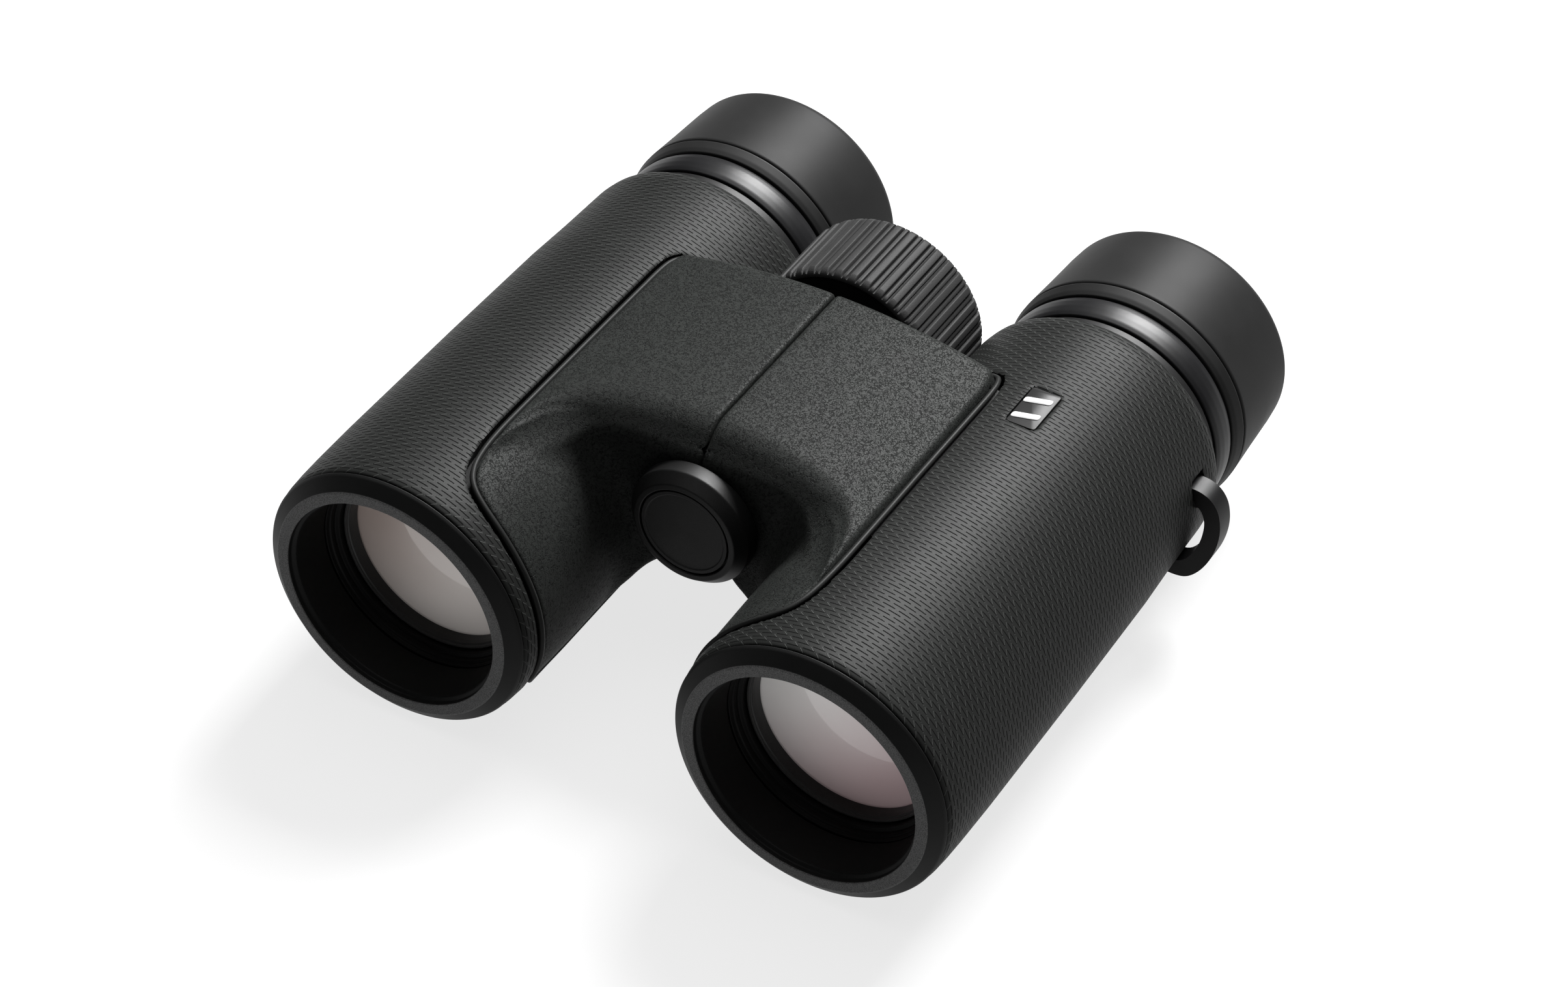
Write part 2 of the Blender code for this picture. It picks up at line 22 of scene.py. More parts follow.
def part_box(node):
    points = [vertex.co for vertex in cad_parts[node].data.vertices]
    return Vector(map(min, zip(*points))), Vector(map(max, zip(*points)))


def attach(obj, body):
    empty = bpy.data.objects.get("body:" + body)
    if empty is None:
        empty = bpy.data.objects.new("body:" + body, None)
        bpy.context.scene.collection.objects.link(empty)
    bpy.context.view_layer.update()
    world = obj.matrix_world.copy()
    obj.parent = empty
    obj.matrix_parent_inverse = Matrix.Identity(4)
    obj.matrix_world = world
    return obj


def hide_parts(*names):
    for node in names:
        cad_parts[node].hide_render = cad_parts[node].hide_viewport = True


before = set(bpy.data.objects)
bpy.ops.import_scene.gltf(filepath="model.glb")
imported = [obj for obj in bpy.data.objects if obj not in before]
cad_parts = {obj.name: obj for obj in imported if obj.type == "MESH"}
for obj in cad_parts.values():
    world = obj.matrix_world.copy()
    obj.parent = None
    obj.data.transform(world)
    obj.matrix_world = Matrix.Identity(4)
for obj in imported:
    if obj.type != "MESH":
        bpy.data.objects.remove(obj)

MM = 0.001
RUBBER_SHINE = 0.038
Outline = List[Tuple[float, float]]
Field = Callable[[np.ndarray], np.ndarray]
Number = Union[float, "Signal"]
Colour = Union[Sequence[float], "Signal"]
Triple = Tuple[float, float, float]
Pair = Tuple[float, float]
log = logging.getLogger("binoculars")


class Side(Enum):
    """The user's left or right half."""

    LEFT = "left"
    RIGHT = "right"

    @property
    def sign(self) -> int:
        """Plus one where the half lies on +X, minus one where it lies on -X."""
        return 1 if self is Side.LEFT else -1

    @property
    def body(self) -> str:
        """The frame's body that this half's fixed pieces ride on."""
        return f"{self.value}_half"

    def named(self, piece: str) -> str:
        """A piece's name on this side."""
        return f"{self.value}_{piece}"


# ------------------------------------------------------------------ node expressions


class Signal:
    """A number that runs through a node tree. Arithmetic on it adds Math nodes."""

    def __init__(self, graph: "Graph", socket: bpy.types.NodeSocket) -> None:
        """Wraps a socket.

        Args:
            graph: The tree that the socket belongs to.
            socket: The output to compute with.
        """
        self.graph = graph
        self.socket = socket

    def math(self, operation: str, *values: Number) -> "Signal":
        """Adds one Math node.

        Args:
            operation: The node's operation.
            values: Its inputs, in order.

        Returns:
            The node's result.
        """
        return self.graph.signal("ShaderNodeMath", {"operation": operation}, dict(enumerate(values)))

    def __add__(self, other: Number) -> "Signal":
        """Sum."""
        return self.math("ADD", self, other)

    def __radd__(self, other: Number) -> "Signal":
        """Sum, reflected."""
        return self.math("ADD", other, self)

    def __sub__(self, other: Number) -> "Signal":
        """Difference."""
        return self.math("SUBTRACT", self, other)

    def __rsub__(self, other: Number) -> "Signal":
        """Difference, reflected."""
        return self.math("SUBTRACT", other, self)

    def __mul__(self, other: Number) -> "Signal":
        """Product."""
        return self.math("MULTIPLY", self, other)

    def __rmul__(self, other: Number) -> "Signal":
        """Product, reflected."""
        return self.math("MULTIPLY", other, self)

    def __truediv__(self, other: Number) -> "Signal":
        """Quotient."""
        return self.math("DIVIDE", self, other)

    def __rtruediv__(self, other: Number) -> "Signal":
        """Quotient, reflected."""
        return self.math("DIVIDE", other, self)

    def __abs__(self) -> "Signal":
        """Size without sign."""
        return self.math("ABSOLUTE", self)

    def __lt__(self, other: Number) -> "Signal":
        """One where this is below the other."""
        return self.math("LESS_THAN", self, other)

    def __gt__(self, other: Number) -> "Signal":
        """One where this is above the other."""
        return self.math("GREATER_THAN", self, other)

    def floor(self) -> "Signal":
        """Next whole number down."""
        return self.math("FLOOR", self)

    def fraction(self) -> "Signal":
        """What is left above the next whole number down."""
        return self.math("FRACT", self)

    def root(self) -> "Signal":
        """Square root."""
        return self.math("SQRT", self)

    def most(self, other: Number) -> "Signal":
        """The larger of two."""
        return self.math("MAXIMUM", self, other)

    def step(self, low: float, high: float) -> "Signal":
        """A smooth step.

        Args:
            low: Where it leaves 0; above high, the step falls instead of rising.
            high: Where it reaches 1.

        Returns:
            The step, from 0 to 1.
        """
        ends = {"From Min": low, "From Max": high, "To Min": 0.0, "To Max": 1.0, "Value": self}
        if low > high:
            ends.update({"From Min": high, "From Max": low, "To Min": 1.0, "To Max": 0.0})
        return self.graph.signal("ShaderNodeMapRange", {"interpolation_type": "SMOOTHSTEP"}, ends)


class Graph:
    """The node tree of one material."""

    def __init__(self, name: str) -> None:
        """Starts a material with an empty tree.

        Args:
            name: The material's name.
        """
        self.material = bpy.data.materials.new(name)
        self.material.use_nodes = True
        self.tree = self.material.node_tree
        self.tree.nodes.clear()

    def node(
        self, kind: str, settings: Optional[Dict] = None, sockets: Optional[Dict] = None
    ) -> bpy.types.Node:
        """Adds a node.

        Args:
            kind: The node's type.
            settings: Its own settings, set first.
            sockets: Input name or number to a value, a Signal or a socket.

        Returns:
            The node.
        """
        made = self.tree.nodes.new(kind)
        for key, value in (settings or {}).items():
            setattr(made, key, value)
        for key, value in (sockets or {}).items():
            target = made.inputs[key]
            if isinstance(value, Signal):
                self.tree.links.new(value.socket, target)
            elif isinstance(value, bpy.types.NodeSocket):
                self.tree.links.new(value, target)
            else:
                target.default_value = value
        return made

    def signal(self, kind: str, settings: Dict, sockets: Dict, output: Union[int, str] = 0) -> Signal:
        """Adds a node and wraps one of its outputs.

        Args:
            kind: The node's type.
            settings: Its own settings.
            sockets: Its inputs.
            output: Which output to wrap.

        Returns:
            The output.
        """
        return Signal(self, self.node(kind, settings, sockets).outputs[output])

    def place(self, scale: Sequence[float] = (1000.0, 1000.0, 1000.0)) -> bpy.types.NodeSocket:
        """The point on the piece at rest, in millimetres unless another scale is given."""
        rest = self.node("ShaderNodeTexCoord").outputs["Object"]
        scaled = self.node("ShaderNodeVectorMath", {"operation": "MULTIPLY"}, {0: rest, 1: tuple(scale)})
        return scaled.outputs[0]

    def axes(self) -> Tuple[Signal, Signal, Signal]:
        """X, Y and Z of the point on the piece at rest, in millimetres."""
        parts = self.node("ShaderNodeSeparateXYZ", {}, {0: self.place()})
        return tuple(Signal(self, out) for out in parts.outputs)

    def noise(self, scale: float, detail: float = 2.0, stretch: Sequence[float] = (1.0, 1.0, 1.0)) -> Signal:
        """Cloudy noise.

        Args:
            scale: Features per millimetre.
            detail: How many finer layers are added.
            stretch: How much finer it is along each axis.

        Returns:
            The noise, about 0 to 1 round 0.5.
        """
        at = self.place([1000.0 * s for s in stretch])
        return self.signal("ShaderNodeTexNoise", {}, {"Vector": at, "Scale": scale, "Detail": detail})

    def blend(self, share: Number, first: Colour, second: Colour) -> Signal:
        """Mixes two colours.

        Args:
            share: How much of the second, from 0 to 1.
            first: A colour or a signal that carries one.
            second: The other.

        Returns:
            The mixed colour.
        """
        colours = [(*c, 1.0) if isinstance(c, tuple) else c for c in (first, second)]
        mixer = {"data_type": "RGBA", "clamp_factor": True}
        return self.signal("ShaderNodeMix", mixer, {0: share, 6: colours[0], 7: colours[1]}, 2)

    def relief(self, height: Signal, depth: float) -> bpy.types.NodeSocket:
        """Turns a height into a bumped normal.

        Args:
            height: The surface's height.
            depth: Millimetres that a height of 1 stands for.

        Returns:
            The normal.
        """
        made = self.node("ShaderNodeBump", {}, {"Strength": 1.0, "Distance": depth * MM, "Height": height})
        return made.outputs[0]

    def surface(self, sockets: Dict) -> bpy.types.Material:
        """Ends the tree in a Principled shader.

        Args:
            sockets: The shader's inputs.

        Returns:
            The finished material.
        """
        shader = self.node("ShaderNodeBsdfPrincipled", {}, sockets)
        self.node("ShaderNodeOutputMaterial", {}, {0: shader.outputs[0]})
        return self.material


def tone(level: float, green: float = 1.0, blue: float = 1.0) -> Triple:
    """A near-grey colour from a display level between 0 and 1.

    Args:
        level: The red level as displayed.
        green: The green level as a share of it.
        blue: The blue level as a share of it.

    Returns:
        The colour as light, for a shader.
    """
    shown = [min(1.0, level * share) for share in (1.0, green, blue)]
    return tuple(c / 12.92 if c < 0.04045 else ((c + 0.055) / 1.055) ** 2.4 for c in shown)


def shades(colour: Triple, *shares: float) -> List[Triple]:
    """Darker and lighter shades of a colour.

    Args:
        colour: The colour.
        shares: How bright each shade is beside it.

    Returns:
        The shades, in order.
    """
    return [tuple(c * share for c in colour) for share in shares]


# ------------------------------------------------------------------ the frame's datum


@dataclass(frozen=True)
class Datum:
    """Where the optical axes, the hinge axis and the rims' face lie, read from the frame."""

    axis_x: float
    axis_z: float
    hinge_z: float
    face_y: float

    @classmethod
    def read(cls) -> "Datum":
        """Measures the frame's own nodes."""
        low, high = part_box("left_objective_rim")
        wheel_low, wheel_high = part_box("focus_wheel_hub")
        middle = (low + high) / (2 * MM)
        return cls(middle.x, middle.z, (wheel_low.z + wheel_high.z) / (2 * MM), low.y / MM)

    def barrel(self, side: Side) -> Pair:
        """X and Z of a barrel's optical axis."""
        return side.sign * self.axis_x, self.axis_z

    def hinge(self) -> Pair:
        """X and Z of the hinge's axis."""
        return 0.0, self.hinge_z

    def point(self, x: float, station: float, height: float) -> Vector:
        """A point in the frame, in metres.

        Args:
            x: Distance from the hinge's plane.
            station: Distance behind the rims' face.
            height: Height above the optical axes.

        Returns:
            The point.
        """
        return Vector((x, self.face_y + station, self.axis_z + height)) * MM


DATUM = Datum.read()


# ------------------------------------------------------------------ finishes


@dataclass(frozen=True)
class Finish:
    """A surface finish. Each kind paints its own node tree."""

    colour: Triple = tone(0.2)
    roughness: float = 0.5

    def paint(self, name: str) -> bpy.types.Material:
        """Builds the material under a name."""
        raise NotImplementedError


@dataclass(frozen=True)
class EngravedRubber(Finish):
    """Armour rubber moulded in staggered rows of small triangular scales."""

    axis: Pair = (0.0, 0.0)
    hand: int = 1
    cells: int = 55
    row: float = 0.763
    share: float = 0.76
    depth: float = 0.06
    # colour of the painted highlight along one flank of each scale
    flank_highlight_colour: Triple = tone(0.24, 1.02, 1.0)

    def paint(self, name: str) -> bpy.types.Material:
        """Builds the material: a painted shade darkens the step under every scale, and a painted highlight
        runs along one flank.
        """
        g = Graph(name)
        x, y, z = g.axes()
        across = (x - self.axis[0]) * self.hand
        turn = across.math("ARCTAN2", across, z - self.axis[1])
        level = (y - DATUM.face_y) / self.row
        line = level.floor()
        climb = 1.0 - (level - line)
        column = (turn * (self.cells / (2 * math.pi)) + line * 0.5 + 100.0).fraction()
        away = abs(column - 0.5) * 2.0
        waver = g.noise(0.6, 1.0) * 0.10
        dash = (climb + waver).step(0.80, 0.87) * away.step(self.share + 0.03, self.share - 0.07)
        flank = abs(climb * self.share + (0.5 - column) * 2.0)
        # painted highlight: a pale line along the lit flank of each scale, over a low ridge in the bump
        flank_highlight = flank.step(0.085, 0.015) * (column > 0.5)
        grain = g.noise(6.0, 3.0)
        cloud = g.noise(0.18, 2.0)
        body = g.blend(cloud, *shades(self.colour, 0.88, 1.12))
        flank_highlighted = g.blend(flank_highlight * 0.5, body, self.flank_highlight_colour)
        # painted shade: each engraved dash is darkened nearly to black, the shade in the step under the scale
        toned = g.blend(dash * 0.92, flank_highlighted, tuple(c * 0.08 for c in self.colour))
        height = 1.0 - dash + flank_highlight * 0.25 + grain * 0.16 + climb * 0.12
        rough = self.roughness + (cloud - 0.5) * 0.08 + dash * 0.4
        return g.surface({
            "Base Color": toned, "Roughness": rough, "Normal": g.relief(height, self.depth),
            "Specular IOR Level": RUBBER_SHINE,
        })


@dataclass(frozen=True)
class LeatherGrain(Finish):
    """Moulded leather grain: short branching wrinkles between flat pebbles."""

    wrinkle: float = 1.55
    depth: float = 0.075

    def paint(self, name: str) -> bpy.types.Material:
        """Builds the material: the level lines of a warped noise for wrinkles, darkened as painted shade,
        finer noise for pores.
        """
        g = Graph(name)
        coarse = g.noise(self.wrinkle, 1.2)
        fine = g.noise(self.wrinkle * 1.7, 0.8, (1.0, 0.8, 1.0))
        veins = abs(coarse - 0.5).step(0.040, 0.012).most(abs(fine - 0.47).step(0.045, 0.014))
        gaps = g.noise(1.6, 1.0).step(0.38, 0.46)
        lines = veins * (0.25 + gaps * 0.75)
        pores = g.noise(5.5, 2.0)
        cloud = g.noise(0.12, 2.0)
        body = g.blend(cloud, *shades(self.colour, 0.9, 1.1))
        # painted shade: the wrinkles are darkened towards black, the shade in the creases
        toned = g.blend(lines * 0.75, body, tuple(c * 0.1 for c in self.colour))
        height = 1.0 - lines + pores * 0.30 + coarse * 0.3
        rough = self.roughness + lines * 0.15 + (pores - 0.5) * 0.08
        return g.surface({
            "Base Color": toned, "Roughness": rough, "Normal": g.relief(height, self.depth),
            "Specular IOR Level": RUBBER_SHINE,
        })


@dataclass(frozen=True)
class SmoothRubber(Finish):
    """Plain moulded rubber with a very fine tooth and a little dust in its cloudiness."""

    tooth: float = 11.0
    depth: float = 0.012

    def paint(self, name: str) -> bpy.types.Material:
        """Builds the material."""
        g = Graph(name)
        tooth = g.noise(self.tooth, 3.0)
        cloud = g.noise(0.15, 3.0)
        body = g.blend(cloud, *shades(self.colour, 0.85, 1.15))
        rough = self.roughness + (cloud - 0.5) * 0.12
        return g.surface({
            "Base Color": body, "Roughness": rough, "Normal": g.relief(tooth, self.depth),
            "Specular IOR Level": RUBBER_SHINE,
        })


@dataclass(frozen=True)
class Moulded(Finish):
    """Hard black plastic: satin to glossy, with spark-eroded micro texture and faint wear."""

    coat: float = 0.0
    depth: float = 0.006
    shine: float = 0.09

    def paint(self, name: str) -> bpy.types.Material:
        """Builds the material."""
        g = Graph(name)
        spark = g.noise(14.0, 2.0)
        cloud = g.noise(0.25, 3.0)
        body = g.blend(cloud, *shades(self.colour, 0.85, 1.2))
        rough = self.roughness + (cloud - 0.5) * 0.1 + (spark - 0.5) * 0.06
        return g.surface({
            "Base Color": body, "Roughness": rough, "Normal": g.relief(spark, self.depth),
            "Coat Weight": self.coat, "Coat Roughness": 0.08, "Specular IOR Level": self.shine,
        })


@dataclass(frozen=True)
class TurnedFace(Finish):
    """Bead-blasted metal face cut on a lathe: fine sparkle over faint concentric lines."""

    axis: Pair = (0.0, 0.0)
    sparkle: float = 0.35
    metallic: float = 0.6
    lines: float = 7.0
    shine: float = 0.07

    def paint(self, name: str) -> bpy.types.Material:
        """Builds the material."""
        g = Graph(name)
        x, y, z = g.axes()
        u = x - self.axis[0]
        v = z - self.axis[1]
        radius = (u * u + v * v).root()
        sweep = (radius + y) * (self.lines * 2 * math.pi)
        rings = sweep.math("SINE", sweep)
        grains = g.noise(10.0, 2.0)
        bright = grains.step(0.45, 0.72) * self.sparkle
        light = tuple(min(1.0, c * 1.9) for c in self.colour)
        toned = g.blend(bright, self.colour, light)
        height = rings * 0.25 + grains
        return g.surface({
            "Base Color": toned, "Roughness": self.roughness + (grains - 0.5) * 0.2,
            "Metallic": self.metallic, "Normal": g.relief(height, 0.012),
            "Specular IOR Level": self.shine,
        })


@dataclass(frozen=True)
class RimPlastic(TurnedFace):
    """The objective rim: satin black, with its flat front face cut bare and finely blasted."""

    face_colour: Triple = tone(0.27, 1.0, 1.0)
    face_depth: float = 0.22
    face_radii: Pair = (18.3, 20.4)

    def paint(self, name: str) -> bpy.types.Material:
        """Builds the material."""
        g = Graph(name)
        x, y, z = g.axes()
        u = x - self.axis[0]
        v = z - self.axis[1]
        radius = (u * u + v * v).root()
        inner, outer = self.face_radii
        front = (y - DATUM.face_y).step(self.face_depth, self.face_depth * 0.5)
        face = front * (radius > inner) * (radius < outer)
        grains = g.noise(8.0, 2.0)
        cloud = g.noise(0.3, 2.0)
        bare = g.blend(grains.step(0.3, 0.7), *shades(self.face_colour, 0.5, 1.5))
        black = g.blend(cloud, *shades(self.colour, 0.85, 1.15))
        toned = g.blend(face, black, bare)
        rough = self.roughness + face * 0.12 + (cloud - 0.5) * 0.06
        return g.surface({
            "Base Color": toned, "Roughness": rough, "Metallic": face * 0.35,
            "Normal": g.relief(grains, 0.010), "Specular IOR Level": self.shine,
        })


@dataclass(frozen=True)
class CoatedLens(Finish):
    """Anti-reflection coated lens with painted reflection: a milky bright face whose colour drifts across it
    stands in for reflected light, and a faint painted glow lights it though it is no lamp.
    """

    axis: Pair = (0.0, 0.0)
    far: Triple = tone(0.80, 1.0, 0.98)
    near: Triple = tone(0.72, 0.95, 0.97)
    # painted glow: how strongly the lens face emits its own colour
    painted_glow: float = 0.12
    coat: float = 1.0
    span: float = 30.0

    def paint(self, name: str) -> bpy.types.Material:
        """Builds the material: a painted reflection that runs from the upper left of the face to its lower
        right, and a painted glow.
        """
        g = Graph(name)
        x, _, z = g.axes()
        # painted reflection: the face's pale colour drifts from upper left to lower right, as reflected light
        # would
        slope = ((x - self.axis[0]) * 0.7 - (z - self.axis[1]) * 0.7) / self.span + 0.5
        smear = g.noise(0.12, 2.0)
        painted_reflection_drift = slope + (smear - 0.5) * 0.12
        tint = g.blend(painted_reflection_drift.step(0.05, 0.95), self.far, self.near)
        return g.surface({
            "Base Color": tint, "Roughness": self.roughness + (smear - 0.5) * 0.04,
            # painted glow: the face emits its own colour, though it is no lamp
            "Emission Color": tint, "Emission Strength": self.painted_glow,
            "Coat Weight": self.coat, "Coat Roughness": 0.02,
        })


@dataclass(frozen=True)
class OpticGlass(Finish):
    """Polished glass of an inner element or prism, with the ground tone of its edges."""

    transmission: float = 0.9

    def paint(self, name: str) -> bpy.types.Material:
        """Builds the material."""
        g = Graph(name)
        smear = g.noise(0.2, 2.0)
        tint = g.blend(smear, self.colour, tuple(c * 0.85 for c in self.colour))
        return g.surface({
            "Base Color": tint, "Roughness": self.roughness + smear * 0.03,
            "Transmission Weight": self.transmission, "IOR": 1.52,
        })


@dataclass(frozen=True)
class BareMetal(Finish):
    """Machined metal: brass, steel or anodised alloy with tool marks."""

    marks: float = 6.0

    def paint(self, name: str) -> bpy.types.Material:
        """Builds the material."""
        g = Graph(name)
        marks = g.noise(self.marks, 2.0, (1.0, 6.0, 1.0))
        cloud = g.noise(0.2, 3.0)
        toned = g.blend(cloud, tuple(c * 0.8 for c in self.colour), self.colour)
        return g.surface({
            "Base Color": toned, "Metallic": 1.0,
            "Roughness": self.roughness + (marks - 0.5) * 0.15, "Normal": g.relief(marks, 0.004),
        })


# ------------------------------------------------------------------ mesh making


def eased(outline: Outline, radius: float, closed: bool = True, steps: int = 4) -> Outline:
    """Rounds the corners of an outline, with guard points that keep its flats flat.

    Args:
        outline: The corners, in order.
        radius: How far along each edge a rounding reaches.
        closed: Whether the last corner joins the first.
        steps: Edges in each rounding.

    Returns:
        The rounded outline.
    """
    count = len(outline)
    points = [Vector(p) for p in outline]
    made: Outline = []
    for i, corner in enumerate(points):
        if not closed and i in (0, count - 1):
            made.append(tuple(corner))
            continue
        back, ahead = points[i - 1] - corner, points[(i + 1) % count] - corner
        if back.length < 1e-6 or ahead.length < 1e-6:
            continue
        bend = math.pi - back.angle(ahead)
        if bend < math.radians(4) or corner.x < 1e-6:
            made.append(tuple(corner))
            continue
        reach = min(radius, 0.42 * back.length, 0.42 * ahead.length)
        guard = min(0.35 * reach, 0.05 * min(back.length, ahead.length))
        back.normalize()
        ahead.normalize()
        made.append(tuple(corner + back * (reach + guard)))
        for k in range(steps + 1):
            t = k / steps
            made.append(tuple(corner + back * (reach * (1 - t) ** 2) + ahead * (reach * t ** 2)))
        made.append(tuple(corner + ahead * (reach + guard)))
    return made


def mesh_object(name: str, verts: Sequence, faces: Sequence, sharp: float = 38.0) -> bpy.types.Object:
    """Makes a smooth-shaded object from metres.

    Args:
        name: The object's name.
        verts: Its points, in the frame.
        faces: Its faces.
        sharp: Bends above this many degrees stay sharp.

    Returns:
        The object, linked to the scene.
    """
    mesh = bpy.data.meshes.new(name)
    mesh.from_pydata([tuple(v) for v in verts], [], [tuple(f) for f in faces])
    form = bmesh.new()
    form.from_mesh(mesh)
    bmesh.ops.remove_doubles(form, verts=form.verts, dist=2e-7)
    bmesh.ops.dissolve_degenerate(form, edges=form.edges, dist=1e-7)
    bmesh.ops.recalc_face_normals(form, faces=form.faces)
    form.to_mesh(mesh)
    form.free()
    mesh.shade_smooth()
    mesh.set_sharp_from_angle(angle=math.radians(sharp))
    made = bpy.data.objects.new(name, mesh)
    bpy.context.scene.collection.objects.link(made)
    return made


def ring_faces(rows: int, columns: int, closed: bool) -> List[Tuple[int, int, int, int]]:
    """Faces between rows of points that run round an axis.

    Args:
        rows: Number of rows.
        columns: Points in each row.
        closed: Whether the last row joins the first.

    Returns:
        The quads.
    """
    made = []
    for i in range(rows if closed else rows - 1):
        low, high = i * columns, (i + 1) % rows * columns
        for j in range(columns):
            k = (j + 1) % columns
            made.append((low + j, low + k, high + k, high + j))
    return made


def turned(
    name: str, outline: Outline, axis: Pair, ease: float = 0.2, segments: int = 128
) -> bpy.types.Object:
    """Turns a closed outline of (radius, station) about an axis along Y.

    Args:
        name: The piece's name.
        outline: The section's corners.
        axis: The axis's X and Z.
        ease: Corner rounding.
        segments: Facets round the axis.

    Returns:
        The piece.
    """
    section = eased(outline, ease) if ease > 0 else outline
    angles = np.arange(segments) * (2 * math.pi / segments)
    verts = []
    for radius, station in section:
        for angle in angles:
            x, z = axis[0] + radius * math.sin(angle), axis[1] + radius * math.cos(angle)
            verts.append((x * MM, (DATUM.face_y + station) * MM, z * MM))
    return mesh_object(name, verts, ring_faces(len(section), segments, True))


def domed(radius: float, front: float, rear: float, bulges: Pair, steps: int = 14) -> Outline:
    """The section of a lens.

    Args:
        radius: Its radius.
        front: Station of its front edge.
        rear: Station of its rear edge.
        bulges: How far its faces stand out at the middle, in front and behind.
        steps: Edges across each face.

    Returns:
        The outline, from the middle of the front face to the middle of the rear one.
    """
    shares = [i / steps for i in range(steps + 1)]
    outline = [(radius * t, front - bulges[0] * (1 - t * t)) for t in shares]
    return outline + [(radius * t, rear + bulges[1] * (1 - t * t)) for t in reversed(shares)]


def flowing(points: Sequence[Sequence[float]], per_span: int, closed: bool) -> np.ndarray:
    """Runs a Catmull-Rom curve through points.

    Args:
        points: What the curve passes through.
        per_span: New points in each span.
        closed: Whether the curve comes back to its start.

    Returns:
        The finer points.
    """
    p = np.array(points, float)
    count = len(p)
    made = []
    for i in range(count if closed else count - 1):
        if closed:
            a, b, c, d = (p[(i + k) % count] for k in (-1, 0, 1, 2))
        else:
            a, b, c, d = p[max(i - 1, 0)], p[i], p[i + 1], p[min(i + 2, count - 1)]
        for k in range(per_span):
            t = k / per_span
            bend = (2 * a - 5 * b + 4 * c - d) * t ** 2 + (3 * b - a - 3 * c + d) * t ** 3
            made.append(0.5 * (2 * b + (c - a) * t + bend))
    if not closed:
        made.append(p[-1])
    return np.array(made)


def soft_least(a: np.ndarray, b: np.ndarray, reach: Union[float, np.ndarray]) -> np.ndarray:
    """The smaller of two fields, with their meeting rounded over a reach."""
    share = np.maximum(reach - np.abs(a - b), 0.0) / reach
    return np.minimum(a, b) - share ** 2 * reach / 4


def soft_most(a: np.ndarray, b: np.ndarray, reach: Union[float, np.ndarray]) -> np.ndarray:
    """The larger of two fields, with their meeting rounded over a reach."""
    return -soft_least(-a, -b, reach)


def loop_distance(points: np.ndarray, loop: np.ndarray) -> np.ndarray:
    """Signed distance from points to a closed loop in a plane, negative inside.

    Args:
        points: The points.
        loop: The loop's corners.

    Returns:
        A distance for each point.
    """
    nearest = np.full(len(points), 1e9)
    inside = np.zeros(len(points), bool)
    for a, b in zip(loop, np.roll(loop, -1, axis=0)):
        edge = b - a
        to = points - a
        share = np.clip(to @ edge / (edge @ edge), 0, 1)
        gap = to - share[:, None] * edge
        nearest = np.minimum(nearest, (gap ** 2).sum(1))
        crosses = (a[1] > points[:, 1]) != (b[1] > points[:, 1])
        rise = b[1] - a[1] if b[1] != a[1] else 1e-9
        inside ^= crosses & (points[:, 0] < (b[0] - a[0]) * (points[:, 1] - a[1]) / rise + a[0])
    return np.where(inside, -1, 1) * np.sqrt(nearest)


def skin_of(
    form: Field, low: Sequence[float], high: Sequence[float], pitch: float
) -> Tuple[np.ndarray, np.ndarray]:
    """Nets the surface where a solid's field is zero.

    Args:
        form: Gives the field at points, negative inside the solid.
        low: Lowest corner of the room to search.
        high: Highest corner.
        pitch: Size of the net's cells.

    Returns:
        The points and the quads.
    """
    lines = [np.arange(a, b + pitch, pitch) for a, b in zip(low, high)]
    grid = np.stack(np.meshgrid(*lines, indexing="ij"), -1)
    value = form(grid.reshape(-1, 3)).reshape(grid.shape[:3])
    inside = value < 0
    nx, ny, nz = (n - 1 for n in value.shape)
    corners = [(i, j, k) for i in (0, 1) for j in (0, 1) for k in (0, 1)]
    filled = sum(inside[i:i + nx, j:j + ny, k:k + nz].astype(int) for i, j, k in corners)
    mixed = (filled > 0) & (filled < 8)
    cells = np.argwhere(mixed)
    number = np.full(mixed.shape, -1)
    number[mixed] = np.arange(len(cells))
    total = np.zeros((len(cells), 3))
    hits = np.zeros(len(cells))
    for a in corners:
        for axis in range(3):
            if a[axis] == 1:
                continue
            b = tuple(c + (n == axis) for n, c in enumerate(a))
            va, vb = value[tuple((cells + a).T)], value[tuple((cells + b).T)]
            cross = (va < 0) != (vb < 0)
            share = np.where(cross, va / np.where(cross, va - vb, 1.0), 0.0)
            spot = cells + np.array(a) + share[:, None] * (np.array(b) - np.array(a))
            total += np.where(cross[:, None], spot, 0.0)
            hits += cross
    points = np.array(low) + total / hits[:, None] * pitch
    quads = []
    for axis in range(3):
        u, v = (axis + 1) % 3, (axis + 2) % 3
        step = np.eye(3, dtype=int)
        first = np.take(inside, range(inside.shape[axis] - 1), axis)
        second = np.take(inside, range(1, inside.shape[axis]), axis)
        edges = np.argwhere(first != second)
        within = (edges[:, u] > 0) & (edges[:, v] > 0)
        within &= (edges[:, u] < mixed.shape[u]) & (edges[:, v] < mixed.shape[v])
        edges = edges[within]
        around = [edges - step[u] - step[v], edges - step[v], edges, edges - step[u]]
        quad = np.stack([number[tuple(c.T)] for c in around], 1)
        flip = first[tuple(edges.T)]
        quad[~flip] = quad[~flip][:, ::-1]
        quads.append(quad)
    faces = np.concatenate(quads)
    for _ in range(3):
        here = form(points)
        slope = np.stack([(form(points + d) - form(points - d)) / 0.04 for d in np.eye(3) * 0.02], 1)
        size = np.maximum((slope ** 2).sum(1), 0.2)
        shift = -(here / size)[:, None] * slope
        points = points + np.clip(shift, -0.5 * pitch, 0.5 * pitch)
    return points, faces


# ------------------------------------------------------------------ sub-assemblies


